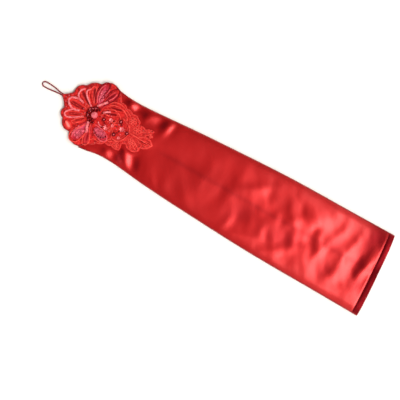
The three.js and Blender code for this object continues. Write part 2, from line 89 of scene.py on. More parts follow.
# %% Stations of the sleeve
TIP_X = -237.0  # where the fingertip point is along the frame's X axis
ARM_END = 470.0
END_LEAN = 4.0
STATIONS = np.array([
    # reach, near, far, crown, edge, full
    (-6, -46, 51, 2.2, 0.8, 0.8),
    (20, -46, 51, 3.6, 0.8, 0.8),
    (45, -45.4, 50.4, 6, 1.8, 0.7),
    (62, -43.8, 46, 7.8, 2.6, 0.6),
    (78, -41, 43.9, 9.2, 2.6, 0.55),
    (100, -41, 43.5, 10.6, 2.6, 0.55),
    (150, -46, 47, 12, 2.6, 0.55),
    (200, -49.5, 50.5, 12.6, 2.6, 0.55),
    (310, -55, 56, 13.4, 2.6, 0.55),
    (410, -56.5, 57, 13.8, 2.6, 0.55),
    (470, -57.5, 57.5, 12.4, 2.6, 0.55),
], float)
COLUMN = {"reach": 0, "near": 1, "far": 2, "crown": 3, "edge": 4, "full": 5}


def curve_value(table, column, at):
    """A column of a table at some places along its first column, on a smooth cubic through its rows."""
    along, value = table[:, 0], table[:, column]
    slope = np.empty(len(table))
    slope[1:-1] = (value[2:] - value[:-2]) / (along[2:] - along[:-2])
    slope[0] = (value[1] - value[0]) / (along[1] - along[0])
    slope[-1] = (value[-1] - value[-2]) / (along[-1] - along[-2])
    at = np.asarray(at, float)
    i = np.clip(np.searchsorted(along, at, "right") - 1, 0, len(table) - 2)
    span = along[i + 1] - along[i]
    t = np.clip((at - along[i]) / span, 0, 1)
    rise = value[i + 1] - value[i]
    a = slope[i] * span - rise
    b = rise - slope[i + 1] * span
    return value[i] + t * rise + t * (1 - t) * ((1 - t) * a + t * b)


def section(name, reach):
    return curve_value(STATIONS, COLUMN[name], reach)


def smooth(low, high, value):
    t = np.clip((np.asarray(value, float) - low) / (high - low), 0, 1)
    return t * t * (3 - 2 * t)


print("hem", section("far", ARM_END) - section("near", ARM_END), "mm wide")

# %% [markdown]
# ## Folds
#
# Satin that is laid down by hand keeps soft folds, and in a shiny cloth they are most of what one sees.
# They could be left to a cloth simulation, but then they would fall anywhere. Here each fold is a row: a
# ridge, or a dent where rise is negative, with its place, its direction, and how long and wide it is.

# %% Fold chart
FOLDS = np.array([
    # reach, y, turn from the glove's length, long, wide, rise
    (111, -26, -62, 16, 6, 1.5),
    (97, -36, -75, 12, 6, -1.2),
    (84, 38, 80, 12, 6, 1.2),
    (100, 33, 82, 14, 7, -1.4),
    (114, 30, 75, 16, 6, 1.2),
    (130, 33, 78, 14, 7, -1),
    (143, 38, 84, 12, 5, 0.9),
    (146, -36, -70, 14, 7, 0.8),
    (172, -34, -60, 14, 8, 0.8),
    (205, -36, -50, 20, 8, 0.7),
    (190, 10, 8, 70, 11, -0.9),
    (255, 14, 86, 34, 9, 0.9),
    (282, 24, 32, 26, 7, 1.2),
    (276, -22, 70, 22, 10, -1.1),
    (312, -22, 80, 26, 8, 0.9),
    (322, 22, 60, 20, 9, -0.9),
    (342, 9, 50, 14, 8, 1.4),
    (336, -38, 38, 26, 7, 1),
    (362, -10, 30, 22, 8, -1.2),
    (380, 30, 28, 24, 12, 1.3),
    (390, -8, 68, 16, 6, 1.1),
    (404, 10, 60, 18, 7, -1.1),
    (412, -22, 62, 14, 7, -1),
    (424, 12, 78, 30, 6, 1.4),
    (438, 4, 70, 18, 6, -1.5),
    (449, -4, 66, 14, 5, 1.3),
    (444, 40, 50, 16, 8, -1.2),
    (428, -42, 30, 24, 8, 1),
], float)
FOLD_START = {"middle": 1.5, "y": 24, "reach": 128, "blend": 14, "hand": 62, "hand_full": 80}


def bells(chart, reach, y):
    """The sum of a chart's bell-shaped ridges and dents at some places."""
    total = np.zeros(np.broadcast(reach, y).shape)
    for at_reach, at_y, turn, long, wide, rise in chart:
        dx, dy = reach - at_reach, y - at_y
        cos, sin = math.cos(math.radians(turn)), math.sin(math.radians(turn))
        along = (dx * cos + dy * sin) / long
        across = (dy * cos - dx * sin) / wide
        total += rise * np.exp(-along * along - across * across)
    return total


def free_of_lace(reach, y):
    """1 where the satin is free to fold, 0 where the lace panel stiffens it."""
    start = FOLD_START
    beside = smooth(start["y"], start["y"] + start["blend"], np.abs(y - start["middle"]))
    beyond = smooth(start["reach"], start["reach"] + start["blend"], reach)
    return np.maximum(beside, beyond) * smooth(start["hand"], start["hand_full"], reach)


def top_height(reach, y):
    """Height of the upper layer's outer face above the table."""
    near, far = section("near", reach), section("far", reach)
    q = np.clip((2 * y - near - far) / (far - near), -1, 1)
    curve = 1 - q * q
    edge = section("edge", reach)
    puff = (section("crown", reach) - edge / 2) * curve ** section("full", reach)
    return edge / 2 + puff + bells(FOLDS, reach, y) * free_of_lace(reach, y) * np.sqrt(curve)


print("highest fold", round(float(bells(FOLDS, 424.0, 12.0)), 2), "mm")

# %% [markdown]
# ## Making pieces
#
# Every piece is a mesh written point by point, in millimetres, and turned into metres in one place. The
# helper also gives the piece its material, smooth shading with crisp corners, and its ride on the frame.
# Most pieces are grids of points, in rows that may close into a ring, so one function makes their faces.

# %% Mesh helper
GLOVE = "root"  # the one body of a part without joints


def mesh_piece(name, points, faces, material, slot, replaces=(), sharp=80):
    mesh = bpy.data.meshes.new(name)
    mesh.from_pydata((np.asarray(points, float) * MM).tolist(), [], faces)
    mesh.validate()
    bm = bmesh.new()
    bm.from_mesh(mesh)
    bmesh.ops.recalc_face_normals(bm, faces=bm.faces)
    bm.to_mesh(mesh)
    bm.free()
    mesh.shade_smooth()
    mesh.set_sharp_from_angle(angle=math.radians(sharp))
    mesh.materials.append(material)
    piece = bpy.data.objects.new(name, mesh)
    bpy.context.scene.collection.objects.link(piece)
    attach(piece, GLOVE)
    if replaces:
        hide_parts(*replaces)
    print(f"{name}: {len(mesh.polygons)} faces")
    return piece


def grid_faces(rows, columns, rows_close=False, columns_close=False):
    """Faces between the points of a grid, numbered row by row."""
    i, j = np.meshgrid(
        np.arange(rows if rows_close else rows - 1),
        np.arange(columns if columns_close else columns - 1),
        indexing="ij",
    )
    n, k = (i + 1) % rows, (j + 1) % columns
    corners = [i * columns + j, i * columns + k, n * columns + k, n * columns + j]
    return np.stack(corners, 2).reshape(-1, 4).tolist()


def paint(piece, name, values):
    """Give each point of a piece a value that its material reads."""
    piece.data.attributes.new(name, "FLOAT", "POINT").data.foreach_set("value", np.ravel(values))


def joined(parts):
    """Several (points, faces) meshes as one."""
    points, faces, start = [], [], 0
    for part_points, part_faces in parts:
        points.append(np.asarray(part_points, float))
        faces.extend([[i + start for i in face] for face in part_faces])
        start += len(part_points)
    return np.vstack(points), faces


def x_of(reach):
    return TIP_X + np.asarray(reach, float)


# %% [markdown]
# ## Shader effects that several finishes share
#
# Four effects are node groups, each built once and placed where a finish needs it: a weave, the grain of
# wound thread, an uneven dye, and the light wear that rubbing leaves. A group gives out only values and
# colours. The shader stays in each material, where its gloss is set.

# %% Node group helpers
FLOAT, COLOR = "NodeSocketFloat", "NodeSocketColor"


def feed(tree, socket, value):
    """Link a socket to another one, or set it to a plain value."""
    if isinstance(value, bpy.types.NodeSocket):
        tree.links.new(value, socket)
    else:
        socket.default_value = value


def new_group(name, inputs, outputs):
    group = bpy.data.node_groups.new(name, "ShaderNodeTree")
    for label, kind, default in inputs:
        socket = group.interface.new_socket(label, in_out="INPUT", socket_type=kind)
        socket.default_value = default
    for label, kind in outputs:
        group.interface.new_socket(label, in_out="OUTPUT", socket_type=kind)
    return group, group.nodes.new("NodeGroupInput"), group.nodes.new("NodeGroupOutput")


def math_node(tree, operation, *values, clamp=False):
    node = tree.nodes.new("ShaderNodeMath")
    node.operation, node.use_clamp = operation, clamp
    for socket, value in zip(node.inputs, values):
        feed(tree, socket, value)
    return node.outputs[0]


def mix_color(tree, factor, a, b):
    node = tree.nodes.new("ShaderNodeMix")
    node.data_type, node.clamp_factor = "RGBA", True
    for place, value in ((0, factor), (6, a), (7, b)):
        feed(tree, node.inputs[place], value)
    return node.outputs[2]


def object_coordinates(tree, scale=(1, 1, 1)):
    coordinates = tree.nodes.new("ShaderNodeTexCoord")
    mapping = tree.nodes.new("ShaderNodeMapping")
    mapping.inputs["Scale"].default_value = scale
    tree.links.new(coordinates.outputs["Object"], mapping.inputs["Vector"])
    return mapping.outputs["Vector"]


def noise_texture(tree, vector, scale, detail=2.0):
    node = tree.nodes.new("ShaderNodeTexNoise")
    for label, value in (("Vector", vector), ("Scale", scale), ("Detail", detail)):
        feed(tree, node.inputs[label], value)
    return node.outputs[0]


# %% [markdown]
# ### Satin weave
#
# Satin is woven with long floats: each warp thread passes over several wefts, so the face is a field of
# fine parallel threads along the arm. Two things make it: stripes at the thread pitch, and a noise that is
# stretched along them for the ends of the floats. The group gives their height and a mask of the floats.

# %% Group: satin weave
FLOAT_STRETCH, STRIPE_SHARE = 0.08, 0.3


def weave_group():
    group, given, made = new_group(
        "satin_weave", [("Threads", FLOAT, 4500.0)], [("Height", FLOAT), ("Floats", FLOAT)]
    )
    stretched = object_coordinates(group, scale=(FLOAT_STRETCH, 1, 1))
    floats = noise_texture(group, stretched, given.outputs["Threads"], detail=1.0)
    axes = group.nodes.new("ShaderNodeSeparateXYZ")
    group.links.new(object_coordinates(group), axes.inputs[0])
    phase = math_node(group, "MULTIPLY", axes.outputs["Y"], given.outputs["Threads"])
    stripes = math_node(group, "SINE", math_node(group, "MULTIPLY", phase, math.tau))
    height = math_node(group, "ADD", math_node(group, "MULTIPLY", stripes, STRIPE_SHARE), floats)
    group.links.new(height, made.inputs["Height"])
    group.links.new(floats, made.inputs["Floats"])
    return group


# %% [markdown]
# ### Uneven dye, thread grain and wear
#
# Dye never takes quite evenly, thread is wound from fine filaments, and hems and rims rub pale. Each is a
# plain noise at its own size, and the wear shows it on sharp edges alone. They are groups of their own, so
# a finish can take one and leave the others.

# %% Groups: dye, thread grain, wear
DYE_CONTRAST = (2.4, -0.7)  # how steeply the noise turns from dark to light, and where
EDGE_CONTRAST = (9.0, -4.6)
RUB_PATCHES = 260.0


def dye_group():
    group, given, made = new_group(
        "uneven_dye",
        [("Light", COLOR, (1, 1, 1, 1)), ("Dark", COLOR, (0, 0, 0, 1)), ("Patches", FLOAT, 20.0)],
        [("Color", COLOR)],
    )
    wide = noise_texture(group, object_coordinates(group), given.outputs["Patches"], detail=3.0)
    steep = math_node(group, "MULTIPLY_ADD", wide, *DYE_CONTRAST, clamp=True)
    dyed = mix_color(group, steep, given.outputs["Dark"], given.outputs["Light"])
    group.links.new(dyed, made.inputs["Color"])
    return group


def thread_group():
    group, given, made = new_group("thread_grain", [("Filaments", FLOAT, 2500.0)], [("Height", FLOAT)])
    fine = noise_texture(group, object_coordinates(group), given.outputs["Filaments"])
    group.links.new(fine, made.inputs["Height"])
    return group


def wear_group():
    group, given, made = new_group(
        "rubbed_edges",
        [("Color", COLOR, (1, 1, 1, 1)), ("Pale", COLOR, (1, 1, 1, 1)), ("Amount", FLOAT, 0.3)],
        [("Color", COLOR)],
    )
    geometry = group.nodes.new("ShaderNodeNewGeometry")
    edge = math_node(group, "MULTIPLY_ADD", geometry.outputs["Pointiness"], *EDGE_CONTRAST, clamp=True)
    patches = noise_texture(group, object_coordinates(group), RUB_PATCHES)
    patchy = math_node(group, "MULTIPLY", edge, patches)
    mask = math_node(group, "MULTIPLY", patchy, given.outputs["Amount"], clamp=True)
    rubbed = mix_color(group, mask, given.outputs["Color"], given.outputs["Pale"])
    group.links.new(rubbed, made.inputs["Color"])
    return group


GROUPS = {"weave": weave_group(), "dye": dye_group(), "thread": thread_group(), "wear": wear_group()}
print("shader groups:", ", ".join(group.name for group in GROUPS.values()))

# %% [markdown]
# ## Finishes
#
# A finish starts from the Principled shader with its gloss set on it, and places the groups it needs. All
# take their colour the same way: dye, a deeper tone where the mesh is painted so, and wear. On the satin and
# on most petals that deeper tone is painted shade. Colours are given as a painter reads them, in the usual
# screen scale, and turned into linear light here.

# %% Material helpers
def linear(red, green, blue):
    def one(value):
        value = value / 255
        return value / 12.92 if value <= 0.04045 else ((value + 0.055) / 1.055) ** 2.4

    return (one(red), one(green), one(blue), 1.0)


def place_group(tree, key, **values):
    node = tree.nodes.new("ShaderNodeGroup")
    node.node_tree = GROUPS[key]
    for label, value in values.items():
        feed(tree, node.inputs[label], value)
    return node


def new_material(name, **gloss):
    material = bpy.data.materials.new(name)
    material.use_nodes = True
    shader = material.node_tree.nodes["Principled BSDF"]
    for label, value in gloss.items():
        shader.inputs[label.replace("_", " ")].default_value = value
    return material, material.node_tree, shader


def link_shader(tree, shader, **looks):
    """Link what varies over the surface to the shader's sockets."""
    for label, value in looks.items():
        tree.links.new(value, shader.inputs[label.replace("_", " ")])


def add_bump(tree, shader, height, strength, distance):
    bump = tree.nodes.new("ShaderNodeBump")
    bump.inputs["Strength"].default_value = strength
    bump.inputs["Distance"].default_value = distance
    tree.links.new(height, bump.inputs["Height"])
    tree.links.new(bump.outputs["Normal"], shader.inputs["Normal"])


def painted_attribute(tree, name):
    node = tree.nodes.new("ShaderNodeAttribute")
    node.attribute_name = name
    return node.outputs["Fac"]


def worn_and_shaded_color(tree, light, dark, patches, pale, amount, painted=None, deep=None):
    """Uneven dye, a painted deeper colour (painted shade on the satin and most petals), and pale rubbed
    edges.
    """
    dye = place_group(tree, "dye", Light=linear(*light), Dark=linear(*dark), Patches=patches)
    color = dye.outputs["Color"]
    if deep:
        color = mix_color(tree, painted_attribute(tree, painted), color, linear(*deep))
    return place_group(tree, "wear", Color=color, Pale=linear(*pale), Amount=amount).outputs["Color"]


# %% [markdown]
# ### Red satin
#
# Satin shines because its threads lie side by side, and the shine takes the colour of the dye. A pure
# diffuse red would look like felt, and a full clear coat like plastic. So most of the shine is tinted, by a
# large metallic share, and a narrow pale coat puts the salmon cores into the highlights. A painted value
# darkens the red and takes the coat away: along the turned hem, and as painted shade on the side folds,
# down the middle, on slopes that rise towards the arm, and in a few charted places.

# %% Finish: red satin
# deep: the colour of the darker hem and of the painted shade on the satin
SATIN_RED = {"light": (211, 21, 24), "dark": (199, 16, 20), "deep": (140, 8, 22), "pale": (232, 84, 84)}


def satin_material():
    """Red satin, darker where the mesh's shade value is high: its hem, and painted shade on folds and slopes.
    """
    material, tree, shader = new_material("red_satin", Specular_IOR_Level=0.35, Coat_Roughness=0.22)
    shade = painted_attribute(tree, "shade")
    weave = place_group(tree, "weave", Threads=3600.0)
    link_shader(
        tree,
        shader,
        Base_Color=worn_and_shaded_color(tree, patches=26.0, amount=0.25, painted="shade", **SATIN_RED),
        Metallic=math_node(tree, "MULTIPLY_ADD", shade, 0.2, 0.6),
        Coat_Weight=math_node(tree, "MULTIPLY_ADD", shade, -0.8, 0.8),
        Roughness=math_node(tree, "MULTIPLY_ADD", weave.outputs["Floats"], 0.08, 0.29),
    )
    add_bump(tree, shader, weave.outputs["Height"], strength=0.07, distance=0.00006)
    return material


SATIN = satin_material()

# %% [markdown]
# ### Lace, threads, beads, sequins and cord
#
# The embroidery is rayon on net: a matte red ground, pinker where thread is piled up. The dark beads are
# lustred glass, so they are smooth, and their shine is tinted. The pearl and the sequins are pink with a
# soft sheen. The finger loop is a darker cord than the rest. Petals change colour towards their hollow, by a
# value that their mesh carries: on most it is painted shade, a darker red in the recess, and on the lilac
# and boss threads a paler tone.

# %% Finish: embroidery
def paler(color, by):
    """A colour some way towards white."""
    return tuple(value + (255 - value) * by for value in color)


def thread_material(name, light, dark, deep, roughness=0.5, filaments=1500.0, bump=0.5):
    material, tree, shader = new_material(name, Specular_IOR_Level=0.15, Metallic=0.1)
    grain = place_group(tree, "thread", Filaments=filaments)
    link_shader(
        tree,
        shader,
        Base_Color=worn_and_shaded_color(tree, light, dark, 340.0, paler(light, 0.2), 0.4, "hollow", deep),
        Roughness=math_node(tree, "MULTIPLY_ADD", grain.outputs["Height"], 0.2, roughness - 0.1),
    )
    add_bump(tree, shader, grain.outputs["Height"], strength=bump, distance=0.00015)
    return material


THREADS = [
    # name, light, dark, deep, and where they differ roughness, filaments and bump
    ("lace_ground", (232, 52, 48), (196, 20, 26), (126, 4, 14), 0.62, 1100.0, 0.9),
    ("red_thread", (250, 88, 80), (220, 44, 42), (120, 4, 14)),
    ("pink_thread", (255, 152, 160), (222, 62, 72), (190, 40, 50), 0.4),
    ("lilac_thread", (206, 44, 64), (186, 30, 48), (214, 70, 100)),
    ("lilac_cord", (240, 96, 108), (226, 70, 84), (150, 20, 40)),
    ("petal_thread", (240, 66, 60), (196, 18, 24), (128, 0, 12)),
    ("wine_thread", (214, 54, 60), (184, 26, 38), (160, 12, 28)),
    ("boss_thread", (236, 66, 60), (224, 50, 48), (255, 140, 134)),
    ("dark_thread", (150, 2, 24), (116, 0, 14), (100, 0, 12), 0.8),
    ("rim_thread", (240, 70, 64), (206, 34, 38), (128, 6, 18)),
    ("hem_thread", (176, 26, 32), (150, 18, 24), (110, 8, 12)),
    ("loop_cord", (146, 0, 34), (104, 0, 22), (72, 0, 12), 0.9),
]
EMBROIDERY = {row[0]: thread_material(*row) for row in THREADS}
print("threads:", len(EMBROIDERY))


# %% Finish: beads, pearl and sequins
def gem_material(name, light, dark, roughness, metallic=0.0, coat=0.0, coat_roughness=0.03):
    material, tree, shader = new_material(
        name, Roughness=roughness, Metallic=metallic, Coat_Weight=coat, Coat_Roughness=coat_roughness
    )
    link_shader(tree, shader, Base_Color=worn_and_shaded_color(tree, light, dark, 300.0, paler(light, 0.2), 0.2))
    scuffs = place_group(tree, "thread", Filaments=900.0)
    add_bump(tree, shader, scuffs.outputs["Height"], strength=0.08, distance=0.0001)
    return material


GEMS = [
    # name, light, dark, roughness, and where they have them metallic, coat and coat roughness
    ("maroon_bead", (150, 10, 26), (92, 0, 12), 0.24, 0.85, 0.1, 0.15),
    ("pink_pearl", (240, 118, 130), (206, 70, 86), 0.34, 0.0, 0.3, 0.2),
    ("pink_sequin", (246, 120, 124), (226, 84, 92), 0.25, 0.3),
    ("lilac_sequin", (250, 104, 130), (176, 26, 50), 0.4, 0.2),
    # pale glass of the stoppers, which also paints the beads' highlights
    ("pale_glint_glass", (246, 130, 138), (226, 84, 96), 0.35, 0.0, 0.2),
    ("red_glass", (232, 50, 48), (214, 34, 36), 0.15, 0.0, 0.6),
]
GEM = {row[0]: gem_material(*row) for row in GEMS}
print("finishes:", len(bpy.data.materials))

# %% [markdown]
# ## The finger loop
#
# The loop is a thin twisted cord, doubled, with both ends caught under the point of the lace. It is limp,
# so it simply lies on the table. A curve with a round bevel would do, but it would be as smooth as wire:
# sweeping a ring with three shallow lobes that turn as they go gives the plies of a real cord.

# %% Rope sweep
def run_along(path):
    """How far along a path each of its points is."""
    return np.concatenate([[0], np.cumsum(np.linalg.norm(np.diff(path, axis=0), axis=1))])


def unit(vectors):
    return vectors / np.linalg.norm(vectors, axis=1)[:, None]


def swept_tube(path, radius, sides=8, plies=0, pitch=2.0, depth=0.16, loop=False, ribs=0.0):
    """Points and faces of a tube along a path, with plies that twist round it or ribs that swell it."""
    path = np.asarray(path, float)
    before = np.roll(path, 1, 0) if loop else np.vstack([path[:1], path[:-1]])
    after = np.roll(path, -1, 0) if loop else np.vstack([path[1:], path[-1:]])
    tangent = unit(after - before)
    side = unit(np.cross(tangent, (0, 0, 1.0)))
    up = np.cross(side, tangent)
    run = run_along(path)
    angle = (np.arange(sides) * math.tau / sides)[None, :]
    size = np.full((len(path), sides), radius)
    if plies:
        wave = np.abs(np.cos(plies * (angle / 2 - math.pi * run[:, None] / pitch)))
        size = radius * (1 - depth + depth * wave)
    if ribs:
        size = size * (1 - depth + depth * np.abs(np.sin(math.pi * run / ribs)))[:, None]
    ring = np.cos(angle)[..., None] * side[:, None] + np.sin(angle)[..., None] * up[:, None]
    points = (path[:, None] + size[..., None] * ring).reshape(-1, 3)
    faces = grid_faces(len(path), sides, loop, True)
    if not loop:
        faces += [list(range(sides)), list(range(len(points) - sides, len(points)))[::-1]]
    return points, faces


def evenly(path, step):
    """The same path with a point every step."""
    path = np.asarray(path, float)
    run = run_along(path)
    at = np.linspace(0, run[-1], max(2, int(round(run[-1] / step)) + 1))
    return np.stack([np.interp(at, run, path[:, k]) for k in range(path.shape[1])], 1)


# %% Finger loop
CORD, CORD_CLEAR = 1.7, 0.05  # its thickness, and how far it clears the table
LOOP = {"out": 30.5, "tuck": 4.0, "y": 4.6, "drift": 0.6, "drifted": 14.0, "bend": 3.3, "rising": 11.0}
LOOP_HALF_WIDTHS = np.array([(-4, 1.0), (0, 1.0), (5, 1.3), (11, 2.2), (17, 3.0), (23, 3.4), (27, 3.3)])


def loop_path():
    bend_out = LOOP["out"] - CORD / 2 - LOOP["bend"]
    out = np.linspace(-LOOP["tuck"], bend_out, 16)
    half = curve_value(LOOP_HALF_WIDTHS, 1, out)
    flat = CORD / 2 + CORD_CLEAR
    tucked = float(top_height(LOOP["tuck"], LOOP["y"])) - CORD / 2
    z = tucked + (flat - tucked) * smooth(0, LOOP["rising"], out)
    middle = LOOP["y"] + LOOP["drift"] * smooth(0, LOOP["drifted"], out)
    leg = np.stack([x_of(-out), middle + half, z], 1)
    back = np.stack([x_of(-out), middle - half, z], 1)[::-1]
    angle = np.radians([60, 30, 0, -30, -60])
    bend = np.stack([
        x_of(-bend_out - LOOP["bend"] * np.cos(angle)),
        middle[-1] + LOOP["bend"] * np.sin(angle),
        np.full(5, flat),
    ], 1)
    return np.vstack([leg, bend, back])


loop_route = evenly(loop_path(), 0.25)
loop_points, loop_faces = swept_tube(loop_route, CORD / 2, sides=12, plies=3, pitch=3.2, depth=0.14)
cord_thread = EMBROIDERY["loop_cord"]
finger_loop = mesh_piece("finger_loop_cord", loop_points, loop_faces, cord_thread, "cord", ["finger_loop"])
print("finger loop", round(run_along(loop_route)[-1], 1), "mm of cord")

# %% [markdown]
# ## The edge of the lace
#
# The lace is sewn down along its edge, and the satin beside it puckers while the satin under it stays flat.
# So the scalloped edge is charted before the sleeve: corners where two scallops meet, and how far each
# scallop bulges between them. A curve drawn by eye would do as well, but a row a scallop is easier to mend.

# %% Lace outline
LACE_OUTLINE = [
    # reach, y, how far the scallop before it bulges
    (64.5, 43.8, 0.8),
    (38.5, 41, 6.8),
    (22.5, 30.5, 3),
    (12, 15, 4.4),
    (0, 5.6, -0.8),
    (0, 3.6, 0.3),
    (10.5, -9, -0.8),
    (15.5, -22, 3.8),
    (31, -33, 4.4),
    (53.5, -43, 5.6),
    (60, -35, -1),
    (70, -29, 1.6),
    (79, -23, 1.6),
    (88, -22.4, 1.6),
    (99.5, -23, 1.4),
    (99, -14.5, 1),
    (104.5, -12, -1),
    (111.5, -15.5, 1.4),
    (120.5, -13.5, 1.4),
    (122, -7, 1.6),
    (135.5, 3.5, 2.6),
    (121, 9.5, 2.6),
    (129, 20.5, 0.8),
    (117, 17.5, 1.8),
    (107, 18, 1.8),
    (103, 25, 2),
    (93, 27, 2),
    (83, 29.5, 1.6),
    (73, 33, 1.6),
]
LACE_GAP, LACE_THICK = 0.3, 1.0
EDGE_STEP = 0.8


def scalloped_edge():
    corners = np.array([row[:2] for row in LACE_OUTLINE], float)
    points = []
    for i, (reach, y, bulge) in enumerate(LACE_OUTLINE):
        before, corner = corners[i - 1], corners[i]
        chord = float(np.linalg.norm(corner - before))
        count = max(1, round((chord + 2 * abs(bulge)) / EDGE_STEP))
        t = (np.arange(count) + 1)[:, None] / count
        side = np.array([before[1] - corner[1], corner[0] - before[0]]) / chord
        points.append(before + (corner - before) * t - side * 4 * bulge * t * (1 - t))
    return np.vstack(points)


def inside(polygon, points):
    """True for the points inside a closed polygon."""
    x, y = points[:, 0:1], points[:, 1:2]
    x1, y1 = polygon[:, 0], polygon[:, 1]
    x2, y2 = np.roll(x1, -1), np.roll(y1, -1)
    crosses = (y1 > y) != (y2 > y)
    at = x1 + (y - y1) * (x2 - x1) / np.where(y2 == y1, 1e-9, y2 - y1)
    return (crosses & (x < at)).sum(1) % 2 == 1


def distance_to(others, points):
    """How far each point is from the nearest of some others."""
    return np.min(np.hypot(points[:, 0:1] - others[:, 0], points[:, 1:2] - others[:, 1]), axis=1)


edge_line = scalloped_edge()
print("lace edge", round(run_along(np.vstack([edge_line, edge_line[:1]]))[-1], 1), "mm round")

# %% [markdown]
# ## The satin sleeve
#
# The sleeve is a ring of columns, closer together at the side folds, swept along the arm. Each column
# starts at the V that is cut back at the hand, so no cutting is needed and the V has a clean edge.
# Smaller creases are charted like the folds, and seeded rumples grow towards the upper hem, where the big
# folds are halved to leave them room. The turned hem and its flare come last. A drawn height map could do
# all this, but a short row is easier to move. A third chart places painted shade, a darker red where the
# cloth turns away from the light. A solidify modifier then gives the cloth its thickness, inwards.

# %% Creases
V_NEAR, V_FAR, V_MIDDLE = 51.0, 60.0, 1.5  # reach of the V's two ends, and the y of its point
BACK_APEX, PALM_APEX = 92.0, 113.0
HEM_DEPTH, PALM_HEM, HEM_STEP = 8.0, 6.0, 0.6
HEM_TURNED, HEM_LIFTED, HEM_FLARE = 0.4, 0.7, 24.0
GROOVES = {  # depth and half width
    "stitches": (0.45, 0.7),
    "palm seam": (0.4, 0.7),
    "palm hem": (0.25, 0.6),
    # the middle shade is painted shade down the middle of the satin, not a groove in it
    "middle shade": (0.26, 3.4),
}
CREASES = np.array([
    # reach, y, turn from the glove's length, long, wide, rise
    (66, 41, 80, 9, 4, 1.0),
    (74, 39, 80, 9, 4, -0.8),
    (84, 35, 68, 15, 5.6, 1.7),
    (95, 31, 82, 13, 5, -1.4),
    (111, 32, 80, 12, 5, 0.8),
    (128, 34, 80, 12, 6, -0.7),
    (139, 35, 80, 14, 5, 1.1),
    (149, 38, 80, 12, 5, -0.8),
    (86, -36, -80, 10, 4.6, 1.5),
    (98, -30, -72, 15, 5, -1.3),
    (110, -25, -58, 17, 6.4, 2.0),
    (124, -27, -58, 15, 7, -1.5),
    (134, -33, -70, 10, 5, 0.9),
    (158, -38, -60, 12, 5, 0.8),
    (215, 8, 84, 30, 9, 0.4),
    (238, -14, 80, 24, 9, -0.4),
    (266, -37, 80, 12, 6, 0.7),
    (288, -42, 20, 30, 6, 0.6),
    (373, 14, 60, 8, 6, -0.6),
    (405, 30, 80, 16, 8, 0.6),
    (423, -24, 62, 12, 8, 0.6),
    (466, 38, 86, 24, 17, 2.6),
    (478, -38, 86, 28, 34, 3.2),
    (444, 40, 50, 16, 8, 0.6),
    (349, -27, 80, 14, 10, 0.8),
    (412, -24, 75, 12, 8, 0.6),
    (364, 27, 84, 15, 15, 1.3),
    (393, 28, 84, 16, 12, -1.1),
    (450, -13, 66, 10, 6, 0.9),
    (460, 0, 66, 12, 6, -1.1),
], float)
SHADED = np.array([
    # reach, y, turn from the glove's length, long, wide, how much painted shade darkens the red
    (450, 44, 86, 22, 18, 0.85),
    (441, 6, 88, 30, 7, 0.45),
    (342, -16, 15, 30, 13, 0.5),
    (276, -16, 30, 22, 12, 0.4),
    (404, -26, 80, 14, 9, 0.5),
    (454, -22, 80, 12, 9, 0.5),
    (406, 10, 80, 10, 9, 0.4),
], float)
RUMPLES = np.array([
    # along the arm, across it, lean, height
    (30, 44, 0.35, 0.56),
    (15, 24, 0.3, 0.38),
    (9, 15, 0.4, 0.12),
])
RUMPLES_GROW = {"least": 0.35, "more": 1.15, "from": 220, "to": 340}
FOLDS_SOFTEN = {"by": 0.5, "from": 190, "to": 260}
PUCKER_FROM, PUCKER_TO = 0.8, 7.0  # distances from the edge of the lace


def off_the_lace(reach, y):
    """0 on the lace and beside its edge, growing to 1 where the satin is free to pucker."""
    points = np.stack([np.ravel(reach), np.ravel(y)], 1)
    free = smooth(PUCKER_FROM, PUCKER_TO, distance_to(edge_line, points)) * ~inside(edge_line, points)
    return free.reshape(np.shape(reach))


def noise_at(x, y, z):
    """Smooth noise at some places, at one height."""
    return np.array([noise.noise(Vector((a, b, z))) for a, b in zip(x, y)])


def groove(distance, kind):
    """A rounded groove beside a line, this far from it."""
    depth, wide = GROOVES[kind]
    return depth * np.exp(-((distance / wide) ** 2))


def rumples(reach, y):
    """Noise at three sizes, longer across the arm than along it."""
    flat_reach, flat_y = np.ravel(reach), np.ravel(y)
    height = np.zeros(flat_reach.shape)
    for along, across, lean, rise in RUMPLES:
        height += rise * noise_at((flat_reach + lean * flat_y) / along, flat_y / across, along)
    return height.reshape(np.shape(reach))


def crease_height(reach, y):
    """The charted creases, rumples that grow towards the upper hem, and the big folds there softened."""
    grow, soften = RUMPLES_GROW, FOLDS_SOFTEN
    growing = grow["least"] + grow["more"] * smooth(grow["from"], grow["to"], reach)
    height = rumples(reach, y) * growing + bells(CREASES, reach, y)
    height -= soften["by"] * smooth(soften["from"], soften["to"], reach) * bells(FOLDS, reach, y)
    return height * off_the_lace(reach, y)


def hem_height(from_end, y):
    """How far the turned hem and its flare lift the upper layer."""
    turned_under = HEM_TURNED * smooth(HEM_DEPTH + HEM_STEP, HEM_DEPTH - HEM_STEP, from_end)
    lifted = HEM_LIFTED * smooth(HEM_DEPTH + 1, -3, from_end)
    flared = smooth(HEM_FLARE, 6, from_end) * smooth(-40, 0, y)
    return turned_under + lifted + flared


def v_start(y, near_y, far_y, apex):
    """Reach at which the V lets a layer begin."""
    share = np.where(y < V_MIDDLE, (y - near_y) / (V_MIDDLE - near_y), (far_y - y) / (far_y - V_MIDDLE))
    corner = np.where(y < V_MIDDLE, V_NEAR, V_FAR)
    return corner + np.clip(share, 0, 1) * (apex - corner)


def across_arm(reach, q):
    """The y at a share q of the sleeve's half width, -1 on the near side and 1 on the far side."""
    near, far = section("near", reach), section("far", reach)
    return (near + far) / 2 + q * (far - near) / 2


def along_arm(reach, q):
    """The x at a reach, with the lean of the upper hem."""
    return x_of(reach) - END_LEAN * (np.maximum(reach, 0) / ARM_END) ** 4 * q


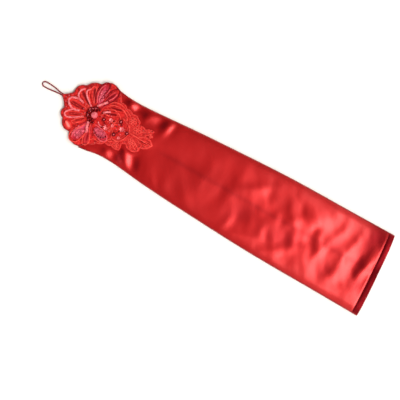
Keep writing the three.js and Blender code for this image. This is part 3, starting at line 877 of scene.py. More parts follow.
# %% Sleeve mesh
TOP_COLUMNS, PALM_COLUMNS, MIDDLE_ROWS = 72, 44, 150
START_ROWS = np.array([0, 0.4, 1.2, 2.6, 4.4, 5.5, 6, 6.5, 7.6, 10, 14])
END_ROWS = np.array([14, 11, 9.4, 8.5, 8, 7.5, 6.6, 4.5, 2.4, 1.0, 0.3, 0])
PALM_SPREAD = 0.72  # below 1 brings the lower layer's columns together at the side folds
PALM_FLAT = 0.94  # the share of the half width that lies flat on the table
PALM_STITCHES = 0.6  # depth of the hem's stitches there, as a share of the upper layer's
CLOTH_THICK = 0.5
# how dark the hem is painted, and how much painted shade the side folds and rising slopes get
SHADES = {"pressed": 0.95, "folded": 0.85, "rising": 0.7}


def sleeve_rows(start, end):
    middle = np.linspace(0, 1, MIDDLE_ROWS)[1:-1]
    low, high = start + START_ROWS[-1], end - END_ROWS[0]
    return np.concatenate([start + START_ROWS, low + middle * (high - low), end - END_ROWS])


def sleeve_grid():
    t = np.linspace(-1, 1, TOP_COLUMNS + 1)
    top_q = 0.5 * (t + np.sin(math.pi / 2 * t))
    t = np.linspace(1, -1, PALM_COLUMNS + 1)[1:-1]
    palm_q = np.sign(t) * np.abs(t) ** PALM_SPREAD
    q = np.concatenate([top_q, palm_q])
    upper = np.arange(len(q)) < len(top_q)
    y = across_arm(np.where(q < 0, V_NEAR, V_FAR), q)
    apex = np.where(upper, BACK_APEX, PALM_APEX)
    start = v_start(y, section("near", V_NEAR), section("far", V_FAR), apex)
    return q, upper, np.stack([sleeve_rows(s, ARM_END) for s in start], 1)


def sleeve_points():
    q, upper, reach = sleeve_grid()
    y = across_arm(reach, q)
    from_end, from_v = ARM_END - reach, reach - reach[0]
    stitched = groove(from_end - HEM_DEPTH, "stitches")
    relief = crease_height(reach, y) + hem_height(from_end, y) - stitched
    top = top_height(reach, y) + relief * np.sqrt(1 - q * q)
    corner = np.clip((np.abs(q) - PALM_FLAT) / (1 - PALM_FLAT), 0, 1)
    dents = groove(y - V_MIDDLE, "palm seam") + groove(from_v - PALM_HEM, "palm hem")
    dents += PALM_STITCHES * stitched
    palm = section("edge", reach) / 2 * (1 - np.sqrt(1 - corner ** 2)) + dents * (1 - corner)
    z = np.where(upper, top, palm)
    return np.stack([along_arm(reach, q), y, z], 2), satin_shade(reach, y, z, q, upper)


def satin_shade(reach, y, z, q, upper):
    """Darker red at the hem, and painted shade on the side folds, the middle, rising slopes and charted
    spots.
    """
    from_end, from_v = ARM_END - reach, reach - reach[0]
    # all but the hem is painted shade: side folds, the middle line, slopes rising towards the arm, charted
    # bells
    turned_under = smooth(HEM_DEPTH + 0.5, HEM_DEPTH - 0.5, from_end)
    pressed = SHADES["pressed"] * np.where(upper, turned_under, 0.5)
    folded = SHADES["folded"] * smooth(0.955, 0.99, np.abs(q)) * np.ones_like(reach)
    centre = groove(y - V_MIDDLE, "middle shade") * smooth(136, 170, reach) * upper
    slope = np.gradient(z, axis=0) / np.gradient(reach, axis=0)
    rising = SHADES["rising"] * smooth(0.05, 0.26, slope) * upper * smooth(0, 12, from_v)
    deepest = np.maximum.reduce([pressed, folded, centre, rising])
    return np.minimum(1, deepest + bells(SHADED, reach, y) * upper)


def make_sleeve():
    grid, shade = sleeve_points()
    faces = grid_faces(*grid.shape[:2], columns_close=True)
    sleeve = mesh_piece("satin_sleeve", grid.reshape(-1, 3), faces, SATIN, "satin", ["sleeve"], 70)
    paint(sleeve, "shade", shade)
    thick = sleeve.modifiers.new("cloth thickness", "SOLIDIFY")
    thick.thickness = CLOTH_THICK * MM
    thick.offset = -1
    bpy.context.view_layer.objects.active = sleeve
    with bpy.context.temp_override(object=sleeve, active_object=sleeve, selected_objects=[sleeve]):
        bpy.ops.object.modifier_apply(modifier=thick.name)
    return sleeve


def layer_area(upper_apex):
    """Cloth in one layer of the tube, from its V to the upper hem, in square millimetres."""
    reach = np.arange(V_NEAR, ARM_END, 1.0)
    wide = section("far", reach) - section("near", reach)
    cut = (section("far", V_FAR) - section("near", V_NEAR)) * (upper_apex - V_NEAR) / 2
    return float(wide.sum() - cut)


satin_sleeve = make_sleeve()
cloth_area = layer_area(BACK_APEX) + layer_area(PALM_APEX)
cloth_wide = 2 * float(section("far", ARM_END) - section("near", ARM_END))

# %% [markdown]
# ## The lace panel
#
# The panel over the back of the hand is embroidered net: dense work round the flower, open net in the tail,
# and a scalloped edge. A plane with a see-through pattern would look right only from above, and its holes
# would have no depth. Here the outline, every hole and a field of points inside are triangulated together,
# so the scallops and the holes are exact, and the sheet gets its thickness from a second layer of points.

# %% [markdown]
# ### Petals and leaves
#
# The flower's petals are padded satin stitch: a felt core, covered by thread that slants from the rim to
# the middle, with a couched cord round it. They are charted from base to tip, with a width, and one
# function gives their height anywhere. The cords and beads ask the same function where the top of the
# work is.

# %% Chart of the padded work
FLOWER = {"reach": 50.5, "y": 1.5, "start": 12.4}
PETALS = [
    # name, tip reach, tip y, width, thread
    ("petal_tip", 10.5, 2, 12.4, "petal_thread"),
    ("petal_near_front", 15, -14.5, 8.2, "petal_thread"),
    ("petal_near_short", 29.5, -19, 6.8, "petal_thread"),
    ("petal_near_wide", 39.5, -39, 13, "lilac_thread"),
    ("petal_near_back", 57, -37, 8.2, "wine_thread"),
    ("petal_far_front", 16.5, 24, 10, "petal_thread"),
    ("petal_far_middle", 31, 36, 10, "petal_thread"),
    ("petal_far_wide", 45, 44, 9.2, "lilac_thread"),
    ("petal_far_back", 60.5, 42, 9, "wine_thread"),
]
LEAVES = [
    # name, base reach, base y, tip reach, tip y, width, thread
    ("leaf_near", 58, -12.5, 78.5, -19, 11, "lilac_thread"),
    ("leaf_far_inner", 60, 9.5, 79, 17.5, 7.6, "petal_thread"),
    ("leaf_far_outer", 61.5, 20, 82, 24.8, 6.4, "petal_thread"),
    ("boss_near", 20.5, -22.5, 31, -29, 8, "boss_thread"),
    ("leaf_tail", 117, 1.2, 134, 3.2, 6, "petal_thread"),
]
PETAL_BASE, PETAL_SHOULDER = 0.34, 0.6
RIM_HEIGHT, HOLLOW_HEIGHT = 1.7, 0.8
HOLLOW_TO_RIM = (0.1, 0.7)  # shares of the half width
SIDE_POWER, END_POWER = 6, 16  # how squarely the padding drops at its sides and its ends


def padded_rows():
    centre = np.array([FLOWER["reach"], FLOWER["y"]])
    rows = []
    for name, tip_reach, tip_y, width, thread in PETALS:
        tip = np.array([tip_reach, tip_y], float)
        base = centre + (tip - centre) * FLOWER["start"] / np.linalg.norm(tip - centre)
        rows.append((name, base, tip, width, thread))
    for name, reach, y, tip_reach, tip_y, width, thread in LEAVES:
        rows.append((name, np.array([reach, y], float), np.array([tip_reach, tip_y], float), width, thread))
    return rows


PADDED = padded_rows()


def petal_half_width(s, width):
    growing = PETAL_BASE + (1 - PETAL_BASE) * np.sin(math.pi / 2 * np.minimum(1, s / PETAL_SHOULDER))
    closing = np.clip((s - PETAL_SHOULDER) / (1 - PETAL_SHOULDER), 0, 1)
    return width / 2 * growing * np.sqrt(1 - closing * closing)


def padding_height(s, across):
    """Height of a petal over the lace; s runs from base to tip, across from -1 to 1."""
    side = np.clip(np.abs(across), 0, 1)
    end = np.clip(np.abs(2 * s - 1), 0, 1)
    rounded = np.sqrt(1 - side ** SIDE_POWER) * np.sqrt(1 - end ** END_POWER)
    return rounded * (HOLLOW_HEIGHT + (RIM_HEIGHT - HOLLOW_HEIGHT) * smooth(*HOLLOW_TO_RIM, side))


def petal_axes(base, tip):
    """A petal's length, and the directions along and across it."""
    length = float(np.linalg.norm(tip - base))
    along = (tip - base) / length
    return length, along, np.array([-along[1], along[0]])


def petal_place(row, reach, y):
    """Where a point is on a petal: the share of its length, and of its half width."""
    name, base, tip, width, thread = row
    length, along, across = petal_axes(base, tip)
    dx, dy = reach - base[0], y - base[1]
    s = (dx * along[0] + dy * along[1]) / length
    half = petal_half_width(np.clip(s, 0, 0.995), width)
    return s, (dx * across[0] + dy * across[1]) / half


def lace_top(reach, y):
    return top_height(reach, y) + LACE_GAP + LACE_THICK


def work_top(reach, y):
    """Top of the lace or of the padded work that covers it."""
    reach, y = np.asarray(reach, float), np.asarray(y, float)
    padded = np.zeros(np.broadcast(reach, y).shape)
    for row in PADDED:
        s, across = petal_place(row, reach, y)
        covers = (s > 0) & (s < 1) & (np.abs(across) < 1)
        padded = np.where(covers, np.maximum(padded, padding_height(s, across)), padded)
    return lace_top(reach, y) + padded


print("padded pieces:", len(PADDED))

# %% [markdown]
# ### The net
#
# Machine net is a lattice of six-sided holes. It is cut only where the satin lies under it, well inside the
# scallops and clear of the padded work, because elsewhere the real panel is stitched too densely to see
# through. The larger gaps round the small flowers come from the same chart as the frame's.

# %% Holes of the lace
LACE_RINGS = [
    # reach, y, radius, gaps, size, turn
    (90.5, 2.5, 8.2, 6, 1.5, 0),
    (108.5, 11.5, 4.2, 5, 1.2, 20),
    (97.5, 18.8, 4.2, 5, 1.2, 50),
    (110.5, -7, 4.6, 6, 1.2, 10),
    (92.5, -17.5, 3.2, 3, 1.1, 30),
    (127, 2.2, 3.2, 3, 1.1, 90),
]
NET = {"pitch": 2.3, "hole": 0.62, "apart": 1.9}
NET_CLEAR = {"rim": 2.3, "past_v": 6.0, "foot": -0.08, "tip": 1.1, "side": 1.3}  # where the net starts
GAP_LONG, GAP_WIDE = 0.75, 0.5  # as shares of a gap's size


def six_sided(centre, long, wide, angle):
    turn = np.arange(6) * math.tau / 6
    x, y = long * np.cos(turn), wide * np.sin(turn)
    cos, sin = math.cos(angle), math.sin(angle)
    return np.stack([centre[0] + x * cos - y * sin, centre[1] + x * sin + y * cos], 1)


def lattice(pitch):
    low, high = edge_line.min(0) - pitch, edge_line.max(0) + pitch
    rows = np.arange(low[1], high[1], pitch * math.sqrt(0.75))
    columns = np.arange(low[0], high[0], pitch)
    return np.array([(x + (k % 2) * pitch / 2, y) for k, y in enumerate(rows) for x in columns])


def ring_gaps():
    gaps = []
    for reach, y, radius, count, size, turn in LACE_RINGS:
        for k in range(count):
            angle = math.radians(turn) + math.tau * k / count
            centre = np.array([reach + radius * math.cos(angle), y + radius * math.sin(angle)])
            gaps.append((centre, six_sided(centre, GAP_LONG * size, GAP_WIDE * size, angle)))
    return gaps


def net_holes(gaps):
    centres = lattice(NET["pitch"])
    centres = centres[inside(edge_line, centres)]
    centres = centres[distance_to(edge_line, centres) > NET_CLEAR["rim"]]
    reach, y = centres.T
    start = v_start(y, section("near", V_NEAR), section("far", V_FAR), BACK_APEX)
    keep = reach > start + NET_CLEAR["past_v"]
    for row in PADDED:
        s, across = petal_place(row, reach, y)
        beside = np.abs(across) < NET_CLEAR["side"]
        keep &= ~((s > NET_CLEAR["foot"]) & (s < NET_CLEAR["tip"]) & beside)
    centres = centres[keep]
    return centres[distance_to(np.array([centre for centre, loop in gaps]), centres) > NET["apart"]]


gap_rows = ring_gaps()
net_centres = net_holes(gap_rows)
print("net holes:", len(net_centres), "flower gaps:", len(gap_rows))


# %% Lace sheet
FILL = {"pitch": 1.15, "from_edge": 0.6, "from_hole": 1.25}
LUMPS = [
    # size, height it is read at, share
    (1.9, 3.3, 1.0),
    (0.9, 8.1, 0.5),
]
LUMPS_HIGH, LUMPS_SUNK = 0.75, 0.2
MOTTLE = {"size": 2.6, "at": 5.5, "share": 0.75, "fewer": 0.55}


def lace_triangles():
    loops = [edge_line] + [loop for centre, loop in gap_rows]
    loops += [six_sided(centre, NET["hole"], NET["hole"], math.pi / 6) for centre in net_centres]
    holes = np.vstack([net_centres, [centre for centre, loop in gap_rows]])
    fill = lattice(FILL["pitch"])
    fill = fill[inside(edge_line, fill)]
    clear = distance_to(edge_line, fill) > FILL["from_edge"]
    fill = fill[clear & (distance_to(holes, fill) > FILL["from_hole"])]
    points, edges = [], []
    for loop in loops:
        start = len(points)
        points.extend(loop.tolist())
        edges.extend((start + k, start + (k + 1) % len(loop)) for k in range(len(loop)))
    points.extend(fill.tolist())
    made = delaunay_2d_cdt([Vector(point) for point in points], edges, [], 1, 1e-5)
    flat = np.array([tuple(point) for point in made[0]])
    triangles = np.array([face for face in made[2]])
    middle = flat[triangles].mean(1)
    keep = inside(edge_line, middle)
    keep &= distance_to(net_centres, middle) > NET["hole"] * 0.8
    for centre, loop in gap_rows:
        keep &= ~inside(loop, middle)
    return flat, triangles[keep]


def lace_relief(reach, y):
    """The lumps of dense stitching, at two sizes."""
    height = sum(share * abs(noise_at(reach / size, y / size, at)) for size, at, share in LUMPS)
    return LUMPS_HIGH * height - LUMPS_SUNK


def mottling(reach, y):
    """Where the ground is darker: in small patches, fewer of them towards the tail."""
    patches = smooth(0.0, 0.4, noise_at(reach / MOTTLE["size"], y / MOTTLE["size"], MOTTLE["at"]))
    return patches * (MOTTLE["share"] - MOTTLE["fewer"] * smooth(60, 90, reach))


def closed_sheet(flat, triangles, low, high):
    """Two layers of the same triangles, joined along every open edge."""
    used, packed = np.unique(triangles, return_inverse=True)
    triangles = packed.reshape(-1, 3)
    count = len(used)
    points = np.vstack([
        np.column_stack([x_of(flat[used, 0]), flat[used, 1], high[used]]),
        np.column_stack([x_of(flat[used, 0]), flat[used, 1], low[used]]),
    ])
    faces = triangles.tolist() + (triangles[:, ::-1] + count).tolist()
    seen = {pair: True for a, b, c in triangles.tolist() for pair in ((a, b), (b, c), (c, a))}
    walls = [(b, a, a + count, b + count) for a, b in seen if (b, a) not in seen]
    return points, faces + walls


def make_lace():
    flat, triangles = lace_triangles()
    reach, y = flat.T
    low = top_height(reach, y) + LACE_GAP
    high = low + LACE_THICK * 0.8 + lace_relief(reach, y)
    points, faces = closed_sheet(flat, triangles, low, high)
    sheet = mesh_piece("lace_sheet", points, faces, EMBROIDERY["lace_ground"], "lace", ["lace_panel"], 70)
    paint(sheet, "hollow", mottling(points[:, 0] - TIP_X, points[:, 1]))
    corners = flat[triangles]
    sides = corners[:, 1:] - corners[:, :1]
    cut = float(np.abs(sides[:, 0, 0] * sides[:, 1, 1] - sides[:, 0, 1] * sides[:, 1, 0]).sum()) / 2
    size = edge_line.max(0) - edge_line.min(0)
    return sheet, size, cut


lace_sheet, lace_size, lace_cut = make_lace()
print("lace cut", lace_size.round(1), "mm,", round(lace_cut), "square mm of cloth")

# %% [markdown]
# ### The scalloped rim
#
# The edge of the panel is buttonholed: short stitches lie side by side over a core, square to the edge. A
# round tube would miss them, so the swept ring grows and shrinks with every stitch along the way.

# %% Scalloped rim
def inset(line, by):
    """A closed line moved towards its inside."""
    ahead = unit(np.roll(line, -1, 0) - np.roll(line, 1, 0))
    side = np.stack([-ahead[:, 1], ahead[:, 0]], 1)
    if not inside(line, line[:1] + side[:1] * by)[0]:
        side = -side
    return line + side * by


def on_work(line, lift):
    """A flat line laid on top of the work."""
    line = np.asarray(line, float)
    return np.column_stack([x_of(line[:, 0]), line[:, 1], work_top(line[:, 0], line[:, 1]) + lift])


RIM = {"inset": 0.75, "step": 0.24, "sunk": 0.35, "radius": 0.85, "stitch": 0.96, "depth": 0.3}
RIM_DEEP, RIM_PALER = 0.9, (56, 76)  # its deep tone at the fingers, and the reaches it fades between


def stitched_rim():
    line = inset(edge_line, RIM["inset"])
    path = on_work(evenly(np.vstack([line, line[:1]]), RIM["step"])[:-1], 0)
    path[:, 2] = lace_top(path[:, 0] - TIP_X, path[:, 1]) - RIM["sunk"]
    return swept_tube(path, RIM["radius"], sides=8, loop=True, ribs=RIM["stitch"], depth=RIM["depth"])


rim_points, rim_faces = stitched_rim()
lace_rim = mesh_piece("lace_rim", rim_points, rim_faces, EMBROIDERY["rim_thread"], "embroidery")
paint(lace_rim, "hollow", RIM_DEEP * (1 - smooth(*RIM_PALER, rim_points[:, 0] - TIP_X)))

# %% [markdown]
# ### Padded petals
#
# Each petal is a fine grid from base to tip. Its height is the charted padding plus slanting stitches,
# and it carries a value that says how deep in the hollow a point is, for the painted shade there, which is
# paler instead on the lilac and boss threads. A height map in the shader would be cheaper, but the
# stitches catch the light from the side only as real relief.

# %% Petal mesh
STITCH = {"pitch": 1.05, "slant": 1.4, "high": 0.26, "sunk": 0.4}
PETAL_STEP, PETAL_ACROSS = 0.26, 25
PETAL_ROOT = 0.35  # how deep the edge of a petal sits in the lace
HOLLOW = {"side": (0.15, 0.62), "foot": (0.02, 0.2), "tip": (0.72, 0.92)}  # where its colour fades


def petal_mesh(row):
    name, base, tip, width, thread = row
    length, along, across = petal_axes(base, tip)
    s = np.linspace(0, 0.995, int(length / PETAL_STEP))[:, None]
    a = np.sin(np.linspace(-math.pi / 2, math.pi / 2, PETAL_ACROSS))[None, :]
    side = a * petal_half_width(s, width)
    reach = base[0] + along[0] * length * s + across[0] * side
    y = base[1] + along[1] * length * s + across[1] * side
    height = padding_height(s, a)
    slant = np.abs(np.sin(math.pi * (s * length - STITCH["slant"] * np.abs(side)) / STITCH["pitch"]))
    height = height + STITCH["high"] * (slant - STITCH["sunk"]) * np.minimum(1, height)
    height[0], height[-1], height[:, 0], height[:, -1] = 0, 0, 0, 0
    z = lace_top(reach, y) - PETAL_ROOT + np.maximum(height, 0) + PETAL_ROOT * (height > 0)
    # painted shade, darker towards the middle of the petal's hollow (paler on the lilac and boss threads)
    hollow = (1 - smooth(*HOLLOW["side"], np.abs(a))) * smooth(*HOLLOW["foot"], s)
    hollow *= 1 - smooth(*HOLLOW["tip"], s)
    index = np.arange(z.size).reshape(z.shape)
    border = np.concatenate([index[0], index[1:, -1], index[-1, -2::-1], index[-2:0:-1, 0]])
    faces = grid_faces(*z.shape) + [border[::-1].tolist()]
    return np.stack([x_of(reach), y, z], 2).reshape(-1, 3), faces, hollow


for row in PADDED:
    petal_points, petal_faces, hollow = petal_mesh(row)
    thread = EMBROIDERY[row[4]]
    petal = mesh_piece(row[0] + "_work", petal_points, petal_faces, thread, "embroidery", [row[0]])
    paint(petal, "hollow", hollow)

# %% [markdown]
# ### Couched cords
#
# Thick twisted threads are laid on the work in curves and held by tiny stitches. They are the pale arches
# round the petals, the stems, and the lines of the leaves. Each is a row of a few points, drawn through
# by a smooth curve and laid on top of whatever is under it.

# %% Chart of the cords
CORDS = [
    # thread, radius, then points as reach, y
    ("pink", 1.5, [
        (30, 8), (25, 10), (19, 9.6), (13.5, 7.6), (11, 4.5), (12.4, 0.6), (16.4, -3), (22, -4.8),
        (30, -3),
    ]),
    ("pink", 1.2, [(28, 8.6), (24, 10.4), (20.8, 12), (18.4, 16), (19.2, 21.5), (22.5, 25.5)]),
    ("pink", 1.15, [(41, 9.4), (36, 13), (31, 17), (27.4, 21.2), (26.4, 24.8), (29.6, 29)]),
    ("pink", 1.25, [
        (21, -5.6), (17.4, -9.6), (14.8, -13.6), (16, -17), (20, -17.4), (26, -15), (32, -11.2),
        (38.4, -6.6),
    ]),
    ("red", 0.7, [
        (40, -7.4), (34, -11.6), (29, -16.6), (27.6, -19.6), (31, -20.8), (37, -16.4), (42.5, -11),
    ]),
    ("pink", 1.7, [(47.8, 13.4), (50.6, 16.4), (53.4, 19.8), (57.4, 24.6)]),
    ("lilac", 0.9, [(45.6, 17), (42.6, 23), (40.8, 30), (40.8, 37), (43.4, 42.6)]),
    ("lilac", 0.8, [(50.4, 24), (51, 31), (51, 37), (49.6, 43)]),
    ("lilac", 0.7, [(57.4, 27), (61.4, 33.6), (62.6, 39)]),
    ("lilac", 0.8, [(46.4, -14), (41.4, -21.6), (37.2, -30), (37.2, -37.4)]),
    ("pink", 2.1, [(47.4, -9.4), (48.2, -13), (49.6, -17.4), (52.6, -22.8)]),
    ("red", 0.8, [
        (36.4, 14), (31.4, 20.4), (29.6, 26.4), (31, 33), (34.4, 33.4), (37, 29), (39.4, 21), (42.4, 14),
    ]),
    ("dark", 1.0, [
        (44, 15.8), (40, 22.4), (38.2, 30), (38.6, 38), (42.6, 45.4), (48.4, 46.6), (50, 41),
        (48.4, 31), (47.6, 22),
    ]),
    ("dark", 0.9, [
        (50.4, 26), (51.4, 32), (54.8, 40.4), (60.2, 46), (65, 41.4), (64.4, 34), (60, 25), (55.6, 18),
    ]),
    ("dark", 0.8, [(54.4, 25), (56.6, 31.4), (60.4, 38.4)]),
    ("red", 0.8, [
        (48, -12), (42.4, -18.4), (34.2, -31), (34.4, -39), (39.6, -42.4), (46.2, -39.4),
        (49.6, -30), (51.6, -22),
    ]),
    ("red", 0.7, [
        (51.4, -10.6), (53.2, -16), (55.6, -22), (60.4, -31), (58.6, -37.6), (53.4, -37.6),
        (51.2, -31), (51, -25),
    ]),
    ("lilac", 0.8, [
        (57.4, -8.6), (63, -9.2), (71, -10.6), (78, -15), (79, -20.4), (73.4, -23.4), (66, -21.2),
        (59, -17),
    ]),
    ("pink", 1.5, [(58.4, 9.6), (62, 12.4), (66.6, 15.4)]),
    ("red", 0.75, [(57.6, 13.4), (63, 17.2), (70, 19.6), (77, 18.2), (82, 13.4), (81.4, 7.4)]),
    ("red", 0.75, [(58.6, 18.4), (64, 23.8), (72, 26), (81, 24.8), (88, 20.4), (90.6, 15)]),
    ("red", 0.75, [(59.6, 24), (66, 29), (74, 30), (83, 27.4), (91.4, 23.4)]),
    ("red", 0.7, [(57.4, 5), (60.6, 8.6), (66, 9.4), (70.4, 6.4)]),
    ("pink", 0.7, [(58.6, -3.4), (61.6, -6.2), (66.6, -6.4), (70, -3)]),
    ("red", 0.7, [
        (80.4, -4.4), (84, -13), (92, -13.6), (98, -8), (100.4, 2), (97, 10.4), (90.4, 13.4), (84.4, 16),
    ]),
    ("red", 0.7, [(101, 3.6), (107, 3.4), (114, 3.2), (124, 2.6), (133, 2.4)]),
    ("red", 0.65, [
        (114.6, 4.4), (120, 7.6), (128, 7.4), (134.4, 3), (128, -1.6), (120, -1.6), (114.6, 1),
    ]),
    ("red", 0.65, [(112.4, 11), (118, 14.6), (123, 17.2), (127.4, 18.8)]),
    ("red", 0.6, [(105, -2), (109, -5.6), (114, -9.4), (119.4, -12.4)]),
    ("red", 0.6, [(106.4, -1.4), (112, -3.4), (117.4, -6.6), (121, -9.4)]),
    ("red", 0.6, [(103.4, -3.4), (106.4, -7), (109.4, -11), (112.4, -14.2)]),
    ("red", 0.65, [(82, -19.4), (88.4, -16.4), (94.4, -19.6), (98, -21.4)]),
    ("red", 0.65, [(60.4, -29), (64.6, -25.6), (72, -25.6), (79, -20.6), (83.4, -14.4)]),
]
CORD_THREADS = {"pink": "pink_thread", "red": "red_thread", "dark": "dark_thread", "lilac": "lilac_cord"}
COUCHING = {"step": 0.3, "softened": 9, "lift": 0.55, "pitch": 4.4, "depth": 0.3}


def smooth_line(points, step):
    """A curve through a few points, with a point every step."""
    points = np.asarray(points, float)
    padded = np.vstack([2 * points[0] - points[1], points, 2 * points[-1] - points[-2]])
    t = np.linspace(0, 1, 12, endpoint=False)[:, None]
    parts = []
    for a, b, c, d in zip(padded, padded[1:], padded[2:], padded[3:]):
        bend, twist = 2 * a - 5 * b + 4 * c - d, 3 * b - a - 3 * c + d
        parts.append(0.5 * (2 * b + (c - a) * t + bend * t ** 2 + twist * t ** 3))
    return evenly(np.vstack(parts + [points[-1:]]), step)


def softened(values, width):
    """A row of numbers with its jumps evened out."""
    kernel = np.ones(width) / width
    return np.convolve(np.pad(values, width // 2, mode="edge"), kernel, "valid")[: len(values)]


def couched(points, radius):
    path = on_work(smooth_line(points, COUCHING["step"]), 0)
    path[:, 2] = softened(path[:, 2], COUCHING["softened"]) + radius * COUCHING["lift"]
    pitch = radius * COUCHING["pitch"]
    return swept_tube(path, radius, sides=10, plies=2, pitch=pitch, depth=COUCHING["depth"])


for kind, thread in CORD_THREADS.items():
    cords = joined([couched(points, radius) for which, radius, points in CORDS if which == kind])
    mesh_piece(f"couched_{kind}_cords", *cords, EMBROIDERY[thread], "embroidery")

# %% [markdown]
# ### Small flowers of the tail
#
# Between the larger gaps of the tail sit small flowers, each a ring of looped thread. One loop is drawn
# once and turned round the middle, which is how the machine sews it as well.

# %% Rosettes
ROSETTES = [
    # reach, y, radius, loops
    (108.5, 11.5, 5.6, 6),
    (97.5, 18.8, 5.2, 6),
    (110.5, -7, 4.6, 6),
    (92.5, -17.5, 4.2, 5),
    (127, 13.4, 3.0, 4),
    (76.4, -4.6, 3.6, 5),
    (77, 5.2, 3.8, 5),
    (36, 6.4, 3.0, 5),
]
PETAL_LOOP = {"out": 0.56, "long": 0.4, "wide": 0.32, "points": 21}  # as shares of the radius
LOOP_THREAD, LOOP_LIFT = 0.5, 0.25


def rosette(reach, y, radius, loops):
    parts = []
    turn = np.arange(PETAL_LOOP["points"]) * math.tau / PETAL_LOOP["points"]
    for k in range(loops):
        angle = math.tau * k / loops
        out = radius * (PETAL_LOOP["out"] + PETAL_LOOP["long"] * np.cos(turn))
        side = radius * PETAL_LOOP["wide"] * np.sin(turn)
        line = np.stack([
            reach + out * math.cos(angle) - side * math.sin(angle),
            y + out * math.sin(angle) + side * math.cos(angle),
        ], 1)
        path = on_work(line, LOOP_LIFT)
        parts.append(swept_tube(path, LOOP_THREAD, sides=8, loop=True, ribs=0.8, depth=0.25))
    return joined(parts)


tail_flowers = joined([rosette(*row) for row in ROSETTES])
mesh_piece("tail_flowers", *tail_flowers, EMBROIDERY["red_thread"], "embroidery")

# %% [markdown]
# ## Beads and pearl
#
# A glass bead is a ball with a drilled hole, held by a thread through it. Turning a profile round the hole
# gives both at once, which a sphere can't. The beads of the ring lie on their side, as on a string, with an
# inner row of smaller ones. A few pale seed beads sit on the ring as painted highlights, in place of its
# glints. Those of the tail stand on end with a seed bead as a stopper, whose pale glass also paints each
# bead's highlight dot.

# %% Turned and placed shapes
def turned_shape(profile, sides):
    """A closed ring-shaped profile of (radius, height) points, turned about the vertical."""
    profile = np.asarray(profile, float)
    turn = np.arange(sides) * math.tau / sides
    points = np.stack([
        profile[:, :1] * np.cos(turn),
        profile[:, :1] * np.sin(turn),
        np.repeat(profile[:, 1:], sides, 1),
    ], 2).reshape(-1, 3)
    return points, grid_faces(len(profile), sides, True, True)


def drilled_bead(diameter, hole=0.2, sides=20, steps=12):
    """A ball with a hole of a share of its diameter, its middle at zero."""
    radius = diameter / 2
    low = math.asin(hole)
    angle = np.linspace(low, math.pi - low, steps)
    outside = np.stack([radius * np.sin(angle), radius * np.cos(angle)], 1)
    bore = np.stack([np.full(3, radius * hole * 0.85), radius * np.array([-0.8, 0, 0.8])], 1)
    return turned_shape(np.vstack([outside, bore]), sides)


def placed(shape, at, tilt=0.0, heading=0.0):
    """A shape tipped over by tilt, turned to its heading, and moved."""
    points, faces = shape
    c, s = math.cos(tilt), math.sin(tilt)
    points = points @ np.array([(c, 0, -s), (0, 1, 0), (s, 0, c)])
    c, s = math.cos(heading), math.sin(heading)
    return points @ np.array([(c, s, 0), (-s, c, 0), (0, 0, 1)]) + np.asarray(at, float), faces


def on_lace(reach, y, rise):
    return [float(x_of(reach)), float(y), float(lace_top(reach, y)) + rise]


# %% Ring of beads, tail beads and pearl
BEAD_RING = {"radius": 9.6, "bead": 3.7, "count": 10, "from": 72, "to": 288}
INNER_RING = {"radius": 6.4, "bead": 2.3, "count": 7, "from": 90, "to": 270}
TAIL_BEADS = [
    # name, reach, y, diameter
    ("bead_inner", 64, 2.6, 5),
    ("bead_far", 85, 10.6, 5.4),
    ("bead_near", 84.5, -8, 5.4),
    ("bead_tail", 99, 1.4, 5),
]
PEARL_BEAD = (FLOWER["reach"], FLOWER["y"], 8.6)
STOPPER, STOPPER_SITS, STOPPER_TILT = 1.6, 0.98, 0.2
RING_TILT, PEARL_TILT = math.radians(72), math.radians(80)
# pale seeds set on the ring as painted highlights, where the ring's glints are
RING_GLINTS = [(44.7, 8), (47.7, 9.8), (41.4, 5.4), (43.4, 3.4), (42.8, -2.4)]


def ring_of_beads(ring):
    beads = []
    for angle in np.radians(np.linspace(ring["from"], ring["to"], ring["count"])):
        reach = FLOWER["reach"] + ring["radius"] * math.cos(angle)
        y = FLOWER["y"] + ring["radius"] * math.sin(angle)
        at = on_lace(reach, y, LACE_GAP + ring["bead"] / 2)
        beads.append(placed(drilled_bead(ring["bead"]), at, RING_TILT, angle + math.pi / 2))
    return joined(beads)


def stopper(reach, y, bead):
    seed = drilled_bead(STOPPER, hole=0.35, sides=12, steps=7)
    return placed(seed, on_lace(reach, y, LACE_GAP + bead * STOPPER_SITS), STOPPER_TILT, reach)


bead_names = [f"ring_bead_{k + 1}" for k in range(BEAD_RING["count"])]
mesh_piece("ring_beads", *ring_of_beads(BEAD_RING), GEM["maroon_bead"], "dark_bead", bead_names)
mesh_piece("inner_ring_beads", *ring_of_beads(INNER_RING), GEM["maroon_bead"], "dark_bead")
for name, reach, y, bead in TAIL_BEADS:
    shape = placed(drilled_bead(bead), on_lace(reach, y, LACE_GAP + bead / 2))
    mesh_piece(name + "_glass", *shape, GEM["maroon_bead"], "dark_bead", [name])
# the tail stoppers are real, with painted highlights in their pale glass; the ring's are painted highlights
stoppers_and_glints = [stopper(*row[1:]) for row in TAIL_BEADS]
stoppers_and_glints += [stopper(reach, y, BEAD_RING["bead"] * 0.9) for reach, y in RING_GLINTS]
mesh_piece("stoppers_and_glints", *joined(stoppers_and_glints), GEM["pale_glint_glass"], "pearl")
reach, y, bead = PEARL_BEAD
pearl_at = on_lace(reach, y, LACE_GAP + bead / 2)
pearl_shape = placed(drilled_bead(bead, 0.12, 28, 16), pearl_at, PEARL_TILT, 0.5)
mesh_piece("pearl_bead", *pearl_shape, GEM["pink_pearl"], "pearl", ["pearl"])

# %% [markdown]
# ## Sequins
#
# A cup sequin is a stamped disc with a small hole, its rim raised in flat facets that each catch the light
# on their own. A few lobes round the rim make the larger one into a flower. On the two wide petals and the
# near leaf small sequins overlap like scales, which is what gives those petals their lilac look.

